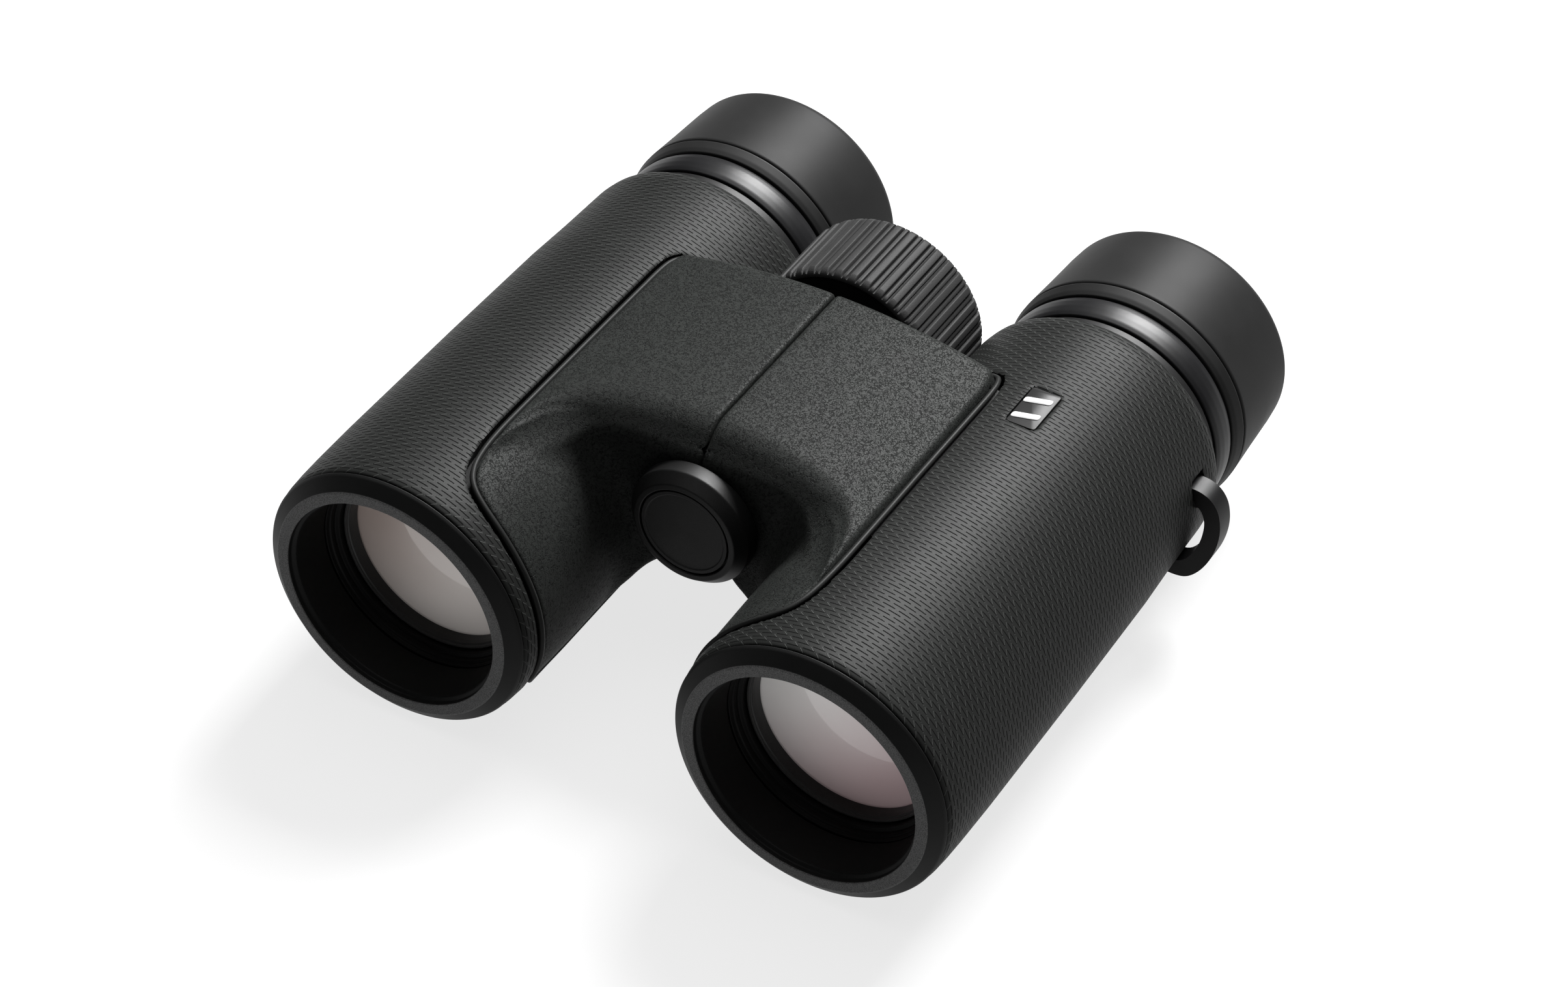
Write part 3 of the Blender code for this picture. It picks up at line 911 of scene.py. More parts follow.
@dataclass
class Assembly:
    """What every sub-assembly shares: how its pieces join the frame."""

    def fit(
        self, piece: bpy.types.Object, body: str, finish: bpy.types.Material, *nodes: str
    ) -> bpy.types.Object:
        """Dresses a piece and lets it stand for its frame nodes.

        Args:
            piece: The piece.
            body: The frame's body that it rides on.
            finish: Its material.
            nodes: The nodes that it replaces, which are hidden.

        Returns:
            The piece.
        """
        piece.data.materials.clear()
        piece.data.materials.append(finish)
        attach(piece, body)
        if nodes:
            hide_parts(*nodes)
        log.info("%-28s %6d faces, rides on %s", piece.name, len(piece.data.polygons), body)
        return piece


@dataclass
class Border:
    """The line on a barrel where the bridge cover's skin meets the armour."""

    radius: float = 23.15
    stops: Tuple[Pair, ...] = (
        (16.8, 60.0), (16.8, 45.0), (16.8, 30.0), (17.0, 21.0), (18.2, 15.4), (20.6, 11.9),
        (25.0, 9.6), (33.0, 8.1), (45.0, 7.2), (60.0, 6.7), (80.0, 6.6), (100.0, 6.8),
        (117.0, 7.1), (123.0, 8.6), (125.6, 12.0), (126.0, 20.0), (126.0, 40.0),
        (126.0, 60.0), (125.4, 67.5), (122.5, 70.6), (116.0, 71.6), (90.0, 71.8),
        (60.0, 71.8), (30.0, 71.8), (21.5, 71.4), (18.4, 70.1), (17.0, 67.0),
    )

    def loop(self) -> np.ndarray:
        """The border as (arc, station) points, arc measured from straight up towards the hinge."""
        return flowing([(math.radians(a) * self.radius, s) for a, s in self.stops], 8, True)


def barrel_radius(station: np.ndarray) -> np.ndarray:
    """The armour's outer radius along a barrel."""
    stations = (0.0, 2.4, 3.6, 10.0, 18.0, 45.0, 68.0, 77.0, 87.5, 89.4, 90.54)
    radii = (22.4, 22.6, 22.85, 23.05, 23.15, 23.08, 22.85, 22.5, 22.25, 21.95, 21.04)
    return np.interp(station, stations, radii)


@dataclass
class BridgeCovers(Assembly):
    """The textured bridge in two halves: crowned deck, sloped front band, pockets and cheeks."""

    border: Border = field(default_factory=Border)
    pitch: float = 0.42
    top: float = 26.5
    crown: float = 4.0
    crown_reach: float = 30.0
    seam: float = 0.15
    front: float = 30.4
    rear: float = 71.0
    band_level: float = 22.0
    wall: float = 1.6
    bore: float = 20.35
    hinge_height: float = 11.385
    hinge_room: float = 11.75
    shaft_room: float = 6.6
    pocket_fillet: float = 5.0
    deck_round: float = 1.8
    lap: float = 0.55
    wall_sweep: Triple = (14.0, 10.0, 18.0)
    band_sweep: Triple = (6.6, 26.9, 1.3)
    band_slope: float = math.sqrt(0.5)
    underside: Outline = field(default_factory=lambda: [(30.0, -6.1), (13.3, -6.0), (5.1, 0.9), (0.0, 11.7)])

    def front_lines(self, x: np.ndarray) -> Tuple[np.ndarray, np.ndarray]:
        """Stations of the front wall, which sweeps forward early, and of the band, which turns late."""
        depth, start, width = self.wall_sweep
        wall = self.front - depth * np.maximum(0.0, (x - start) / width) ** 3
        depth, width, end = self.band_sweep
        return wall, self.front - depth * np.clip(x / width, 0.0, end) ** 12

    def bridge_field(self, p: np.ndarray) -> Tuple[np.ndarray, np.ndarray]:
        """Field of the solid bridge between hinge and barrel.

        Args:
            p: Points as (distance from the hinge's plane, station, height).

        Returns:
            The field, and how far the front faces rule it over the deck.
        """
        x, s, h = p.T
        deck = h - (self.top - self.crown * (x / self.crown_reach) ** 2)
        wall_line, band_line = self.front_lines(x)
        wall = wall_line - s
        band = (band_line + (h - self.band_level) - s) * self.band_slope
        pocket = soft_most(wall, band, 0.9)
        under = np.full(len(p), -1e9)
        for (x1, h1), (x0, h0) in zip(self.underside, self.underside[1:]):
            length = math.hypot(x1 - x0, h1 - h0)
            across = ((x1 - x0) * (h0 - h) - (h1 - h0) * (x0 - x)) / length
            under = soft_most(under, across, 1.0) if under.max() > -1e8 else across
        solid = soft_most(deck, pocket, self.deck_round)
        solid = soft_most(solid, s - self.rear, 1.6)
        solid = soft_most(solid, under, 1.0)
        ruling = np.clip((pocket - deck) / 2.5 + 0.2, 0.0, 1.0)
        return solid, ruling

    def solid_field(self, p: np.ndarray) -> np.ndarray:
        """Field of one cover half, hollowed for the casting, barrel and hinge."""
        x, s, h = p.T
        out = DATUM.axis_x - x
        reach = np.hypot(out, h)
        barrel = reach - barrel_radius(s)
        bridge, ruling = self.bridge_field(p)
        fillet = 0.6 + (self.pocket_fillet - 0.6) * ruling
        form = soft_least(barrel, bridge, fillet)
        form = soft_most(form, self.seam - x, 0.7)
        arc = np.arctan2(out, h) * self.border.radius
        skirt = loop_distance(np.stack([arc, s], 1), self.border.loop()[::2])
        form = soft_most(form, skirt + self.lap, 0.5)
        form = np.maximum(form, self.bore - reach)
        hollow = np.maximum(bridge, self.seam - x) + self.wall
        form = np.maximum(form, -hollow)
        hinge = np.hypot(x, h - self.hinge_height)
        ends = np.maximum(self.front + self.wall - s, s - self.rear + self.wall)
        room = np.maximum(hinge - self.hinge_room, ends)
        form = np.maximum(form, -room)
        return np.maximum(form, self.shaft_room - hinge)

    def build(self, finish: Finish) -> None:
        """Nets one half, mirrors it for the other and dresses both.

        Args:
            finish: The covers' finish.
        """
        points, faces = skin_of(self.solid_field, (-0.6, 5.6, -16.0), (33.0, 73.2, 28.0), self.pitch)
        for side in Side:
            across, along, up = points.T
            place = np.stack([across * side.sign, along + DATUM.face_y, up + DATUM.axis_z], 1)
            name = side.named("bridge_cover")
            piece = mesh_object(f"{name}_skin", place * MM, faces, 60.0)
            self.fit(piece, side.body, finish.paint(name), name)


@dataclass
class BorderBeads(Assembly):
    """The rounded piping that runs along the border between cover and armour."""

    border: Border = field(default_factory=Border)
    radius: float = 0.46
    sink: float = 0.14
    sides: int = 10

    def build(self, finish: Finish) -> None:
        """Sweeps the bead along each barrel's border.

        Args:
            finish: The bead's finish.
        """
        loop = self.border.loop()
        ahead = np.roll(loop, -1, axis=0) - np.roll(loop, 1, axis=0)
        ahead /= np.linalg.norm(ahead, axis=1)[:, None]
        for side in Side:
            verts = []
            for (arc, station), (da, ds) in zip(loop, ahead):
                core = barrel_radius(station) - self.sink
                for k in range(self.sides):
                    turn = 2 * math.pi * k / self.sides
                    out, over = self.radius * math.sin(turn), self.radius * math.cos(turn)
                    angle = (arc - out * ds) / self.border.radius
                    reach = core + over
                    x = side.sign * (DATUM.axis_x - reach * math.sin(angle))
                    verts.append(DATUM.point(x, station + out * da, reach * math.cos(angle)))
            faces = ring_faces(len(loop), self.sides, True)
            piece = mesh_object(side.named("border_bead"), verts, faces, 60.0)
            self.fit(piece, side.body, finish.paint(side.named("border_bead")))
            side.named("armour")


@dataclass
class Armour(Assembly):
    """The two engraved rubber sleeves, open for the cover, the wheel, the lugs and the badge."""

    border: Border = field(default_factory=Border)
    gap: float = 1.05
    inner: float = 20.35
    columns: int = 400
    step: float = 0.42
    wheel_room: float = 16.6
    wheel_front: float = 73.0
    round_over: float = 0.4

    def section(self) -> np.ndarray:
        """The sleeve's outer section as closely spaced (radius, station) rows."""
        ends = [(20.5, 2.4), (22.4, 2.4), (22.72, 3.2)]
        stations = (6.0, 10.0, 18.0, 32.0, 45.0, 57.0, 68.0, 73.0, 77.0, 82.0, 87.5)
        middle = [(float(barrel_radius(s)), s) for s in stations]
        tail = [(21.95, 89.4), (21.04, 90.54), (20.5, 90.54)]
        corners = np.array(eased(ends + middle + tail, 0.5, closed=False))
        rows = [corners[0]]
        for a, b in zip(corners, corners[1:]):
            count = max(1, int(np.ceil(np.linalg.norm(b - a) / self.step)))
            rows += [a + (b - a) * k / count for k in range(1, count + 1)]
        return np.array(rows)

    def opening(self, side: Side, arc: np.ndarray, radius: np.ndarray, station: np.ndarray) -> np.ndarray:
        """Signed distance to the nearest opening, negative inside one.

        Args:
            side: Which barrel.
            arc: Arc from straight up towards the hinge.
            radius: Distance from the optical axis.
            station: Station.

        Returns:
            The distance at each point.
        """
        angle = arc / self.border.radius
        window = loop_distance(np.stack([arc, station], 1), self.border.loop()[::2]) - self.gap
        x, h = DATUM.axis_x - radius * np.sin(angle), radius * np.cos(angle)
        hinge = np.hypot(x, h + DATUM.axis_z - DATUM.hinge_z) - self.wheel_room
        wheel = soft_most(hinge, self.wheel_front - station, 1.0)
        found = np.minimum(window, wheel)
        for middle, half in StrapLugs.LEGS:
            found = np.minimum(found, rounded_box(arc + middle, station - StrapLugs.MIDDLE, half, 2.05, 0.4))
        if side is Side.LEFT:
            across, along = (half + Badge.ROOM for half in Badge.HALF)
            window = rounded_box(arc + Badge.SHIFT, station - Badge.MIDDLE, across, along, 0.9)
            found = np.minimum(found, window)
        return found

    def build(self, side: Side, finish: Finish) -> None:
        """Grids a sleeve, snaps it to its openings and turns their edges in.

        Args:
            side: Which barrel.
            finish: The sleeve's finish.
        """
        rows = self.section()
        turn = (np.arange(self.columns) / self.columns * 2 - 1) * math.pi
        arc = np.tile(turn * self.border.radius, len(rows))
        radius, station = np.repeat(rows[:, 0], self.columns), np.repeat(rows[:, 1], self.columns)
        outer = np.repeat(rows[:, 0] > 20.9, self.columns)
        far = self.opening(side, arc, radius, station)
        near = (np.abs(far) < 0.24) & outer
        nudge = 0.02
        ahead, behind = (self.opening(side, arc + d, radius, station) for d in (nudge, -nudge))
        above, below = (self.opening(side, arc, radius, station + d) for d in (nudge, -nudge))
        da, ds = (ahead - behind) / (2 * nudge), (above - below) / (2 * nudge)
        size = np.maximum(da ** 2 + ds ** 2, 0.25)
        arc = np.where(near, arc - far * da / size, arc)
        station = np.where(near, np.clip(station - far * ds / size, 2.4, 90.54), station)
        radius = radius - 0.22 * np.clip(1 - np.maximum(far, 0) / self.round_over, 0, 1) ** 2 * outer
        quads = np.array(ring_faces(len(rows), self.columns, False))
        kept = ((far[quads] > 0) | near[quads]).all(1) & ~near[quads].all(1)
        quads = quads[kept]
        count = len(arc)
        edges: Dict[Tuple[int, int], int] = {}
        for quad in quads:
            for a, b in zip(quad, np.roll(quad, -1)):
                key = (min(a, b), max(a, b))
                edges[key] = edges.get(key, 0) + 1
        rim = [e for e, uses in edges.items() if uses == 1]
        last = (len(rows) - 1) * self.columns
        rim = [(a, b) for a, b in rim if not (b < self.columns or a >= last)]
        walls = [(a, b, b + count, a + count) for a, b in rim]
        arcs, stations = np.tile(arc, 2), np.tile(station, 2)
        radii = np.concatenate([radius, np.full(count, self.inner)])
        angle = arcs / self.border.radius
        x = side.sign * (DATUM.axis_x - radii * np.sin(angle))
        verts = np.stack([x, stations + DATUM.face_y, radii * np.cos(angle) + DATUM.axis_z], 1) * MM
        used = np.unique(np.concatenate([quads.ravel(), np.array(walls).ravel()]))
        index = np.full(len(verts), -1)
        index[used] = np.arange(len(used))
        faces = [tuple(index[list(f)]) for f in quads.tolist() + walls]
        name = side.named("armour")
        piece = mesh_object(f"{name}_sleeve", verts[used], faces, 45.0)
        self.fit(piece, side.body, finish.paint(name), name)


def rounded_box(u: np.ndarray, v: np.ndarray, half_u: float, half_v: float, radius: float) -> np.ndarray:
    """Signed distance to a rounded rectangle.

    Args:
        u: First coordinate from its middle.
        v: Second coordinate from its middle.
        half_u: Half its first side.
        half_v: Half its second side.
        radius: Corner radius.

    Returns:
        The distance at each point, negative inside.
    """
    a, b = np.abs(u) - half_u + radius, np.abs(v) - half_v + radius
    return np.hypot(np.maximum(a, 0), np.maximum(b, 0)) + np.minimum(np.maximum(a, b), 0) - radius


@dataclass
class StrapLugs(Assembly):
    """The D-shaped strap loops, whose legs pass through the armour."""

    MIDDLE = 82.7
    LEGS = ((31.6, 1.75), (47.0, 2.1))
    width: float = 3.5
    outer: Outline = field(default_factory=lambda: [
        (19.6, 4.9), (21.4, 5.1), (23.2, 4.9), (24.9, 4.0), (26.2, 2.1), (26.78, -0.8), (26.6, -4.0),
        (25.7, -7.4), (24.2, -10.4), (22.3, -12.5), (20.2, -13.2), (16.6, -13.1)])
    inner: Outline = field(default_factory=lambda: [
        (18.3, -10.3), (20.2, -10.2), (21.6, -9.2), (22.9, -7.0), (23.8, -4.2), (24.1, -1.2),
        (23.6, 0.8), (22.5, 2.0), (20.6, 2.2)])

    def build(self, side: Side, finish: Finish) -> None:
        """Extrudes the loop's flowing section and rounds its edges.

        Args:
            side: Which barrel.
            finish: The lug's finish.
        """
        section = list(flowing(self.outer, 5, False)) + list(flowing(self.inner, 5, False))
        form = bmesh.new()
        rows = []
        for station in (self.MIDDLE - self.width / 2, self.MIDDLE + self.width / 2):
            spots = [DATUM.point(side.sign * (DATUM.axis_x + x), station, h) for x, h in section]
            rows.append([form.verts.new(spot) for spot in spots])
        caps = [form.faces.new(rows[0]), form.faces.new(rows[1])]
        for i in range(len(section)):
            j = (i + 1) % len(section)
            form.faces.new((rows[0][i], rows[0][j], rows[1][j], rows[1][i]))
        edges = [e for cap in caps for e in cap.edges]
        bmesh.ops.bevel(form, geom=edges, offset=0.55 * MM, segments=4, profile=0.5, affect="EDGES")
        name = side.named("strap_lug")
        mesh = bpy.data.meshes.new(name)
        form.to_mesh(mesh)
        form.free()
        verts = [v.co.copy() for v in mesh.vertices]
        piece = mesh_object(f"{name}_loop", verts, [tuple(f.vertices) for f in mesh.polygons], 50.0)
        self.fit(piece, side.body, finish.paint(name), name)


@dataclass
class Badge(Assembly):
    """The blank plate let into the left armour, with two plain raised bars."""

    MIDDLE = 66.2
    SHIFT = 1.0
    HALF = (2.4, 4.5)
    ROOM = 0.22
    level: float = 22.65
    thick: float = 0.5

    def bar(self, name: str, points: Outline, low: float, high: float) -> bpy.types.Object:
        """Makes a prism with bevelled top from an outline on the plate.

        Args:
            name: The piece's name.
            points: (across, station) corners.
            low: Height of its underside.
            high: Height of its top.

        Returns:
            The piece.
        """
        section = eased([(x + 10, s) for x, s in points], 0.5, steps=5)
        form = bmesh.new()
        rows = []
        for level, inset in ((low, 0.0), (high - 0.1, 0.0), (high - 0.03, 0.03), (high, 0.1)):
            middle = np.mean(section, axis=0)
            ring = []
            for x, s in section:
                away = np.array([x, s]) - middle
                scale = 1 - inset / max(np.linalg.norm(away), 0.2)
                spot = middle + away * scale
                ring.append(form.verts.new(DATUM.point(DATUM.axis_x + spot[0] - 10, spot[1], level)))
            rows.append(ring)
        for low_row, high_row in zip(rows, rows[1:]):
            for i in range(len(section)):
                j = (i + 1) % len(section)
                form.faces.new((low_row[i], low_row[j], high_row[j], high_row[i]))
        form.faces.new(rows[0])
        form.faces.new(rows[-1])
        mesh = bpy.data.meshes.new(name)
        form.to_mesh(mesh)
        form.free()
        verts = [v.co.copy() for v in mesh.vertices]
        return mesh_object(name, verts, [tuple(f.vertices) for f in mesh.polygons], 50.0)

    def build(self, plate: Finish, bars: Finish) -> None:
        """Makes the plate and its bars.

        Args:
            plate: The plate's finish.
            bars: The bars' finish.
        """
        across, along = self.HALF
        low, high = self.MIDDLE - along, self.MIDDLE + along
        near, far = self.SHIFT - across, self.SHIFT + across
        corners = [(near, low), (far, low), (far, high), (near, high)]
        base = self.bar("badge_base", corners, self.level - self.thick, self.level)
        self.fit(base, Side.LEFT.body, plate.paint("left_badge_plate"), "left_badge_plate")
        shine = bars.paint("badge_bars")
        for i, middle in enumerate((64.2, 68.2)):
            slant = [(-1.3, middle - 1.5), (2.9, middle - 0.3), (2.9, middle + 1.0), (-1.3, middle - 0.2)]
            piece = self.bar(f"badge_bar_{i}", slant, self.level - 0.02, self.level + 0.12)
            self.fit(piece, Side.LEFT.body, shine)


@dataclass
class ObjectiveEnd(Assembly):
    """Front rim, stepped baffle cell, retaining ring and lens of a barrel."""

    rim: Outline = field(default_factory=lambda: [
        (20.16, 0.0), (22.3, 1.6), (22.59, 2.1), (18.4, 2.1), (18.4, 8.3), (17.5, 8.3), (17.8, 1.4),
        (18.38, 0.9), (18.38, 0.0)])
    cell: Outline = field(default_factory=lambda: [
        (18.4, 8.6), (18.4, 24.0), (14.8, 24.0), (14.8, 20.9), (16.2, 20.9), (16.2, 13.5), (16.2, 10.4),
        (16.9, 10.2), (17.0, 9.4), (17.25, 9.2), (17.4, 8.6)])
    retainer: Outline = field(default_factory=lambda: [
        (16.0, 11.3), (16.0, 13.4), (15.05, 13.6), (15.2, 12.4), (15.35, 11.75), (15.55, 11.6), (15.6, 11.3)])

    def build(self, side: Side, rim: Finish, cell: Finish, ring: Finish, glass: Finish) -> None:
        """Makes the four pieces.

        Args:
            side: Which barrel.
            rim: The rim's finish.
            cell: The cell's finish.
            ring: The retaining ring's finish.
            glass: The lens's finish.
        """
        axis = DATUM.barrel(side)
        for part, outline, ease, look in (
            ("objective_rim", self.rim, 0.18, rim),
            ("objective_cell", self.cell, 0.12, cell),
            ("objective_retainer", self.retainer, 0.08, ring),
            ("objective_lens", domed(15.8, 14.0, 20.0, (1.9, 0.4)), 0.0, glass),
        ):
            name = side.named(part)
            piece = turned(f"{name}_turned", outline, axis, ease, 160)
            self.fit(piece, side.body, look.paint(name), name)


@dataclass
class Eyepiece(Assembly):
    """Eyepiece tube with its step, the setting ring, the ocular cell and the twist-up eyecup."""

    tube: Outline = field(default_factory=lambda: [
        (18.4, 86.5), (18.4, 90.35), (19.9, 90.35), (20.0, 91.2), (19.6, 91.5), (19.6, 93.2), (16.6, 93.2),
        (16.6, 113.0), (15.3, 113.0), (15.3, 86.5)])
    ring: Outline = field(default_factory=lambda: [
        (19.84, 93.5), (20.12, 94.3), (20.28, 95.6), (20.3, 97.0), (20.16, 97.9), (19.9, 98.4), (16.9, 98.4),
        (16.9, 93.5)])
    cell: Outline = field(default_factory=lambda: [
        (15.0, 91.6), (15.0, 112.6), (9.8, 112.6), (9.8, 111.8), (11.3, 111.8), (11.3, 92.6), (10.3, 92.6),
        (10.3, 91.6)])
    cam: Outline = field(default_factory=lambda: [
        (20.1, 98.8), (20.5, 99.6), (20.95, 101.1), (17.9, 101.1), (17.9, 110.0), (16.9, 110.0),
        (16.9, 98.8)])
    core: Outline = field(default_factory=lambda: [
        (19.0, 101.4), (19.0, 116.5), (13.5, 116.5), (13.5, 115.0), (18.2, 115.0), (18.2, 101.4)])
    cup: Outline = field(default_factory=lambda: [
        (20.95, 101.4), (20.6, 108.0), (20.3, 115.0), (20.05, 118.0), (19.3, 119.0), (18.4, 119.2),
        (17.3, 118.6), (14.2, 117.3), (14.2, 116.8), (19.3, 116.8), (19.3, 101.4)])

    def build(self, side: Side, looks: Dict[str, Finish]) -> None:
        """Makes the eyepiece's pieces.

        Args:
            side: Which barrel.
            looks: The finish of each piece, by its plain name.
        """
        axis = DATUM.barrel(side)
        left = side is Side.LEFT
        ring_name = "fixed_ring" if left else "diopter_ring"
        ring_body = side.body if left else "diopter_ring"
        cell_body = side.body if left else "right_ocular"
        for part, outline, ease, body in (
            ("eyepiece_tube", self.tube, 0.15, side.body),
            (ring_name, self.ring, 0.25, ring_body),
            ("ocular_cell", self.cell, 0.2, cell_body),
            ("field_lens", domed(11.0, 94.0, 97.4, (0.9, 0.9)), 0.0, cell_body),
            ("eye_lens", domed(11.0, 106.8, 110.4, (1.0, 0.9)), 0.0, cell_body),
            ("eyecup_cam", self.cam, 0.2, side.named("cup_twist")),
            ("eyecup_core", self.core, 0.2, side.named("cup")),
            ("eyecup_rubber", self.cup, 0.6, side.named("cup")),
        ):
            name = side.named(part)
            piece = turned(f"{name}_turned", outline, axis, ease, 144)
            look = looks["setting_ring" if part == ring_name else part]
            self.fit(piece, body, look.paint(name), name)


@dataclass
class Hinge(Assembly):
    """Cap over the tripod socket with its inset plate."""

    cap: Outline = field(default_factory=lambda: [
        (0.0, 26.9), (7.7, 26.9), (7.7, 25.8), (8.69, 25.8), (10.22, 27.55), (10.22, 30.1), (3.0, 30.1),
        (3.0, 36.0),
        (0.0, 36.0)])
    plate: Outline = field(default_factory=lambda: [
        (0.0, 26.05), (6.7, 26.05), (6.8, 25.9), (7.4, 25.9), (7.4, 26.6), (0.0, 26.6)])

    def build(self, cap: Finish, plate: Finish) -> None:
        """Makes the cap and its plate.

        Args:
            cap: The cap's finish.
            plate: The plate's finish.
        """
        axis = DATUM.hinge()
        cover = turned("tripod_cap_turned", self.cap, axis, 0.18)
        self.fit(cover, "tripod_cap", cap.paint("tripod_cap"), "tripod_cap")
        inset = turned("tripod_cap_plate_turned", self.plate, axis, 0.08)
        self.fit(inset, "tripod_cap", plate.paint("tripod_cap_plate"), "tripod_cap_plate")


@dataclass
class FocusWheel(Assembly):
    """The focus wheel: ribbed rubber grip over a hub, closed by an end plate."""

    hub: Outline = field(default_factory=lambda: [
        (3.8, 73.9), (14.6, 73.9), (14.6, 89.5), (13.0, 89.5), (13.0, 77.0), (6.5, 77.0), (6.5, 87.5),
        (3.8, 87.5)])
    plate: Outline = field(default_factory=lambda: [
        (3.8, 88.0), (3.8, 89.0), (5.2, 89.3), (11.9, 89.3), (12.1, 89.1), (12.4, 89.3), (12.7, 89.3),
        (12.7, 88.0)])
    repeats: int = 40
    peak: float = 16.12
    rib_peak: float = 15.86
    valley: float = 15.40
    bore: float = 14.9
    columns_per_repeat: int = 30
    stations: Pair = (73.67, 89.78)
    front_rounding: Outline = field(default_factory=lambda: [
        (0.0, 0.95), (0.12, 0.62), (0.5, 0.30), (1.15, 0.02), (1.35, 0.0)])
    rear_rounding: Outline = field(default_factory=lambda: [
        (-0.9, 0.02), (-0.4, 0.25), (-0.1, 0.55), (0.0, 0.85)])

    def rib_radius(self, share: float) -> float:
        """Radius of the grip at a share of one repeat: a wide pad, then a narrow rib."""
        pad = self.bump(share, 0.28, 0.245, self.peak)
        rib = self.bump(share, 0.765, 0.125, self.rib_peak)
        return max(pad, rib, self.valley)

    def bump(self, share: float, middle: float, half: float, height: float) -> float:
        """Radius of one raised bar with rounded shoulders."""
        away = abs(share - middle) / half
        if away >= 1.25:
            return self.valley
        crown = height - 0.05 * min(away, 1.0) ** 2
        fall = min(1.0, max(0.0, (away - 0.82) / 0.40))
        return crown - (crown - self.valley) * fall * fall * (3 - 2 * fall)

    def build(self, grip: Finish, hub: Finish, plate: Finish) -> None:
        """Makes the grip, the hub and the end plate.

        Args:
            grip: The grip's finish.
            hub: The hub's finish.
            plate: The plate's finish.
        """
        axis = DATUM.hinge()
        body = "focus_wheel"
        front, rear = self.stations
        edge = [(front + along, drop) for along, drop in self.front_rounding]
        run = [(front + 1.35 + (rear - front - 2.5) * k / 8, 0.0) for k in range(1, 9)]
        tail = [(rear + along, drop) for along, drop in self.rear_rounding]
        per = self.columns_per_repeat
        columns = self.repeats * per
        angles = [2 * math.pi * k / columns for k in range(columns)]
        height = DATUM.hinge_z - DATUM.axis_z
        verts = []
        rows = edge + run + tail
        for station, drop in rows:
            ceiling = self.peak - drop
            for k, angle in enumerate(angles):
                radius = min(ceiling, self.rib_radius((k % per) / per))
                if station in (rows[0][0], rows[-1][0]):
                    radius = ceiling
                x, z = radius * math.sin(angle), radius * math.cos(angle)
                verts.append(DATUM.point(x, station, height + z))
        for station in (rear, front):
            for angle in angles:
                x, z = self.bore * math.sin(angle), self.bore * math.cos(angle)
                verts.append(DATUM.point(x, station, height + z))
        piece = mesh_object("focus_wheel_grip_ribbed", verts, ring_faces(len(rows) + 2, columns, True), 50.0)
        self.fit(piece, body, grip.paint("focus_wheel_grip"), "focus_wheel_grip")
        turned_hub = turned("focus_wheel_hub_turned", self.hub, axis, 0.25)
        self.fit(turned_hub, body, hub.paint("focus_wheel_hub"), "focus_wheel_hub")
        turned_plate = turned("focus_wheel_plate_turned", self.plate, axis, 0.1)
        self.fit(turned_plate, body, plate.paint("focus_wheel_plate"), "focus_wheel_plate")


@dataclass
class InnerWorks(Assembly):
    """Frame nodes whose shape already serves: castings, prisms, cells, hinge and focus drive."""

    def build(self, looks: Dict[str, Finish]) -> None:
        """Gives each shown frame node a material of its own.

        Args:
            looks: Finish by the end of the node's name.
        """
        for name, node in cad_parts.items():
            if node.hide_render:
                continue
            finish = next(look for end, look in looks.items() if name.endswith(end))
            material = finish.paint(name)
            if not node.material_slots:
                node.data.materials.append(material)
            for holder in node.material_slots:
                holder.material = material
            log.info("%-28s keeps its frame mesh", name)


# ------------------------------------------------------------------ room, lights and camera


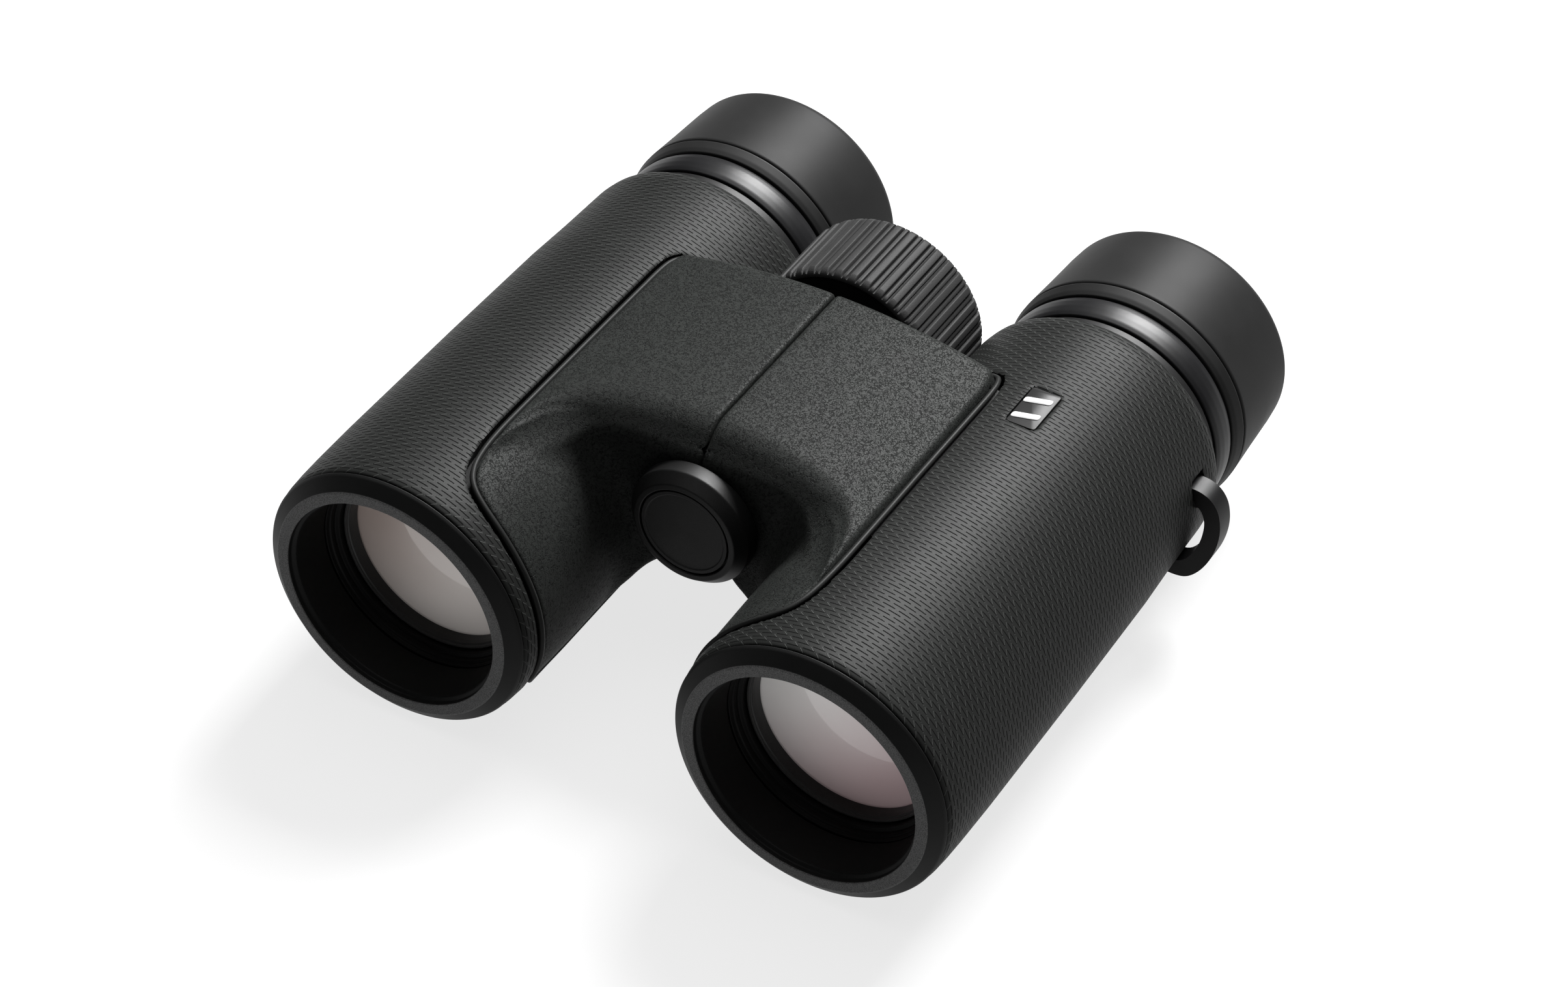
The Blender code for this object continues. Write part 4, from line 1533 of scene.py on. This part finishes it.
@dataclass
class Studio:
    """Pale floor, soft lights and the camera."""

    lens: float = 98.66
    eye: Triple = (0.24880, -0.43982, 0.45734)
    azimuth: float = 29.72
    elevation: float = 41.06
    roll: float = 1.09
    floor_tone: float = 0.33
    floor_glow: float = 0.76
    floor_half: float = 4.0
    world_strength: float = 0.05
    aim: Triple = (0.0, 0.0, 0.03)
    lamps: Tuple[Tuple, ...] = (
        ("softbox behind", (0.03, 0.62, 0.74), (0.46, 0.42), 52.0),
        ("overhead scrim", (0.0, 0.10, 1.30), (1.60, 1.40), 20.0),
    )

    def camera(self) -> None:
        """Places the camera by its bearing, its height above the horizon and its roll."""
        a, e, r = (math.radians(v) for v in (self.azimuth, self.elevation, self.roll))
        right = Vector((math.cos(a), math.sin(a), 0.0))
        ahead = Vector((-math.sin(a) * math.cos(e), math.cos(a) * math.cos(e), -math.sin(e)))
        up = right.cross(ahead)
        tipped = right * math.cos(r) + up * math.sin(r)
        raised = up * math.cos(r) - right * math.sin(r)
        data = bpy.data.cameras.new("camera")
        data.lens, data.sensor_width, data.sensor_fit = self.lens, 36.0, "HORIZONTAL"
        data.clip_start, data.clip_end = 0.01, 20.0
        camera = bpy.data.objects.new("camera", data)
        turn = Matrix((tipped, raised, -ahead)).transposed().to_4x4()
        camera.matrix_world = Matrix.Translation(self.eye) @ turn
        bpy.context.scene.collection.objects.link(camera)
        bpy.context.scene.camera = camera

    def floor(self) -> None:
        """Lays the floor: a table lit from within, so that it stays pale and shadows stay faint."""
        g = Graph("floor")
        cloud = g.noise(0.004, 2.0)
        toned = g.blend(cloud, tone(self.floor_tone), tone(self.floor_tone + 0.02))
        material = g.surface({
            "Base Color": toned, "Roughness": 0.9, "Specular IOR Level": 0.0,
            "Emission Color": (1.0, 1.0, 1.0, 1.0), "Emission Strength": self.floor_glow,
        })
        half = self.floor_half
        mesh = bpy.data.meshes.new("floor")
        corners = [(-half, -half, 0), (half, -half, 0), (half, half, 0), (-half, half, 0)]
        mesh.from_pydata(corners, [], [(0, 1, 2, 3)])
        mesh.materials.append(material)
        floor = bpy.data.objects.new("floor", mesh)
        bpy.context.scene.collection.objects.link(floor)

    def light(self, name: str, spot: Sequence[float], size: Sequence[float], power: float) -> None:
        """Hangs a soft rectangular light that faces the object.

        Args:
            name: The light's name.
            spot: Where it hangs, in metres.
            size: Its two sides, in metres.
            power: Its power in watts.
        """
        data = bpy.data.lights.new(name, "AREA")
        data.shape, data.size, data.size_y, data.energy = "RECTANGLE", size[0], size[1], power
        lamp = bpy.data.objects.new(name, data)
        lamp.location = spot
        lamp.rotation_euler = (Vector(self.aim) - Vector(spot)).to_track_quat("-Z", "Y").to_euler()
        bpy.context.scene.collection.objects.link(lamp)

    def build(self) -> None:
        """Sets up the camera, the floor, the lights and the pale surroundings."""
        self.camera()
        self.floor()
        world = bpy.data.worlds.new("pale room")
        world.use_nodes = True
        sky = world.node_tree.nodes["Background"]
        sky.inputs[0].default_value = (1.0, 1.0, 1.0, 1.0)
        sky.inputs[1].default_value = self.world_strength
        bpy.context.scene.world = world
        bpy.context.scene.view_settings.view_transform = "Standard"
        for lamp in self.lamps:
            self.light(*lamp)


def main() -> None:
    """Builds the sub-assemblies in order and reports each piece."""
    logging.basicConfig(level=logging.INFO, format="%(message)s")
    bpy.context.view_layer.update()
    Studio().build()
    rubber = tone(0.078, 1.03, 1.0)
    black = tone(0.045, 1.0, 1.02)
    leather = LeatherGrain(tone(0.096, 1.05, 1.01), 0.50)
    satin = Moulded(black, 0.45)
    gloss = Moulded(tone(0.05, 1.0, 1.06), 0.36, shine=0.11)
    dark_metal = BareMetal(tone(0.30), 0.5)
    brass = BareMetal(tone(0.34, 0.88, 0.66), 0.45)
    clear = OpticGlass(tone(0.9, 1.0, 0.97), 0.02)
    BridgeCovers().build(leather)
    BorderBeads().build(SmoothRubber(tone(0.085, 1.02, 1.0), 0.42))
    armour = Armour()
    for side in Side:
        axis = DATUM.barrel(side)
        armour.build(side, EngravedRubber(rubber, 0.46, axis=axis, hand=side.sign))
        ObjectiveEnd().build(
            side,
            RimPlastic(tone(0.055, 1.02, 1.01), 0.5, axis=axis),
            Moulded(tone(0.03, 1.0, 1.04), 0.5, shine=0.1),
            TurnedFace(tone(0.20), 0.42, axis=axis, metallic=0.2, shine=0.2),
            # painted reflection: each lens gets its own pale colours, paler at the upper left on the left
            # lens and at the lower right on the right
            CoatedLens(
                roughness=0.3, axis=axis,
                far=tone(0.88, 0.99, 0.98) if side is Side.LEFT else tone(0.62, 0.91, 0.87),
                near=tone(0.76, 0.88, 0.89) if side is Side.LEFT else tone(0.86, 0.97, 0.95),
            ),
        )
        Eyepiece().build(side, {
            "eyepiece_tube": satin,
            "setting_ring": gloss,
            "ocular_cell": dark_metal,
            "field_lens": clear,
            "eye_lens": CoatedLens(
                roughness=0.05, axis=axis, far=tone(0.16, 1.1, 1.3), near=tone(0.2, 0.9, 1.1), painted_glow=0.0
            ),
            "eyecup_cam": Moulded(tone(0.07), 0.5),
            "eyecup_core": satin,
            "eyecup_rubber": SmoothRubber(tone(0.078, 1.0, 1.0), 0.46),
        })
        StrapLugs().build(side, satin)
    Badge().build(Moulded(tone(0.09), 0.4), Moulded(tone(0.50), 0.5))
    hinge = DATUM.hinge()
    Hinge().build(
        TurnedFace(tone(0.045), 0.42, axis=hinge, metallic=0.0, sparkle=0.6, shine=0.1),
        TurnedFace(tone(0.11), 0.45, axis=hinge, metallic=0.1, sparkle=0.15),
    )
    FocusWheel().build(
        SmoothRubber(tone(0.125), 0.5, tooth=4.5, depth=0.03),
        satin,
        TurnedFace(tone(0.10), 0.45, axis=hinge, metallic=0.1),
    )
    InnerWorks().build({
        "body_casting": Moulded(tone(0.04), 0.55, shine=0.08),
        "prism_cage": dark_metal,
        "prism": clear,
        "focusing_cell": dark_metal,
        "focusing_lens": clear,
        "washer": brass,
        "bush": brass,
        "hinge_shaft": BareMetal(tone(0.3), 0.4),
        "retaining_nut": BareMetal(tone(0.22), 0.4),
        "focus_screw": dark_metal,
        "focus_carriage": dark_metal,
    })


if __name__ == "__main__":
    main()
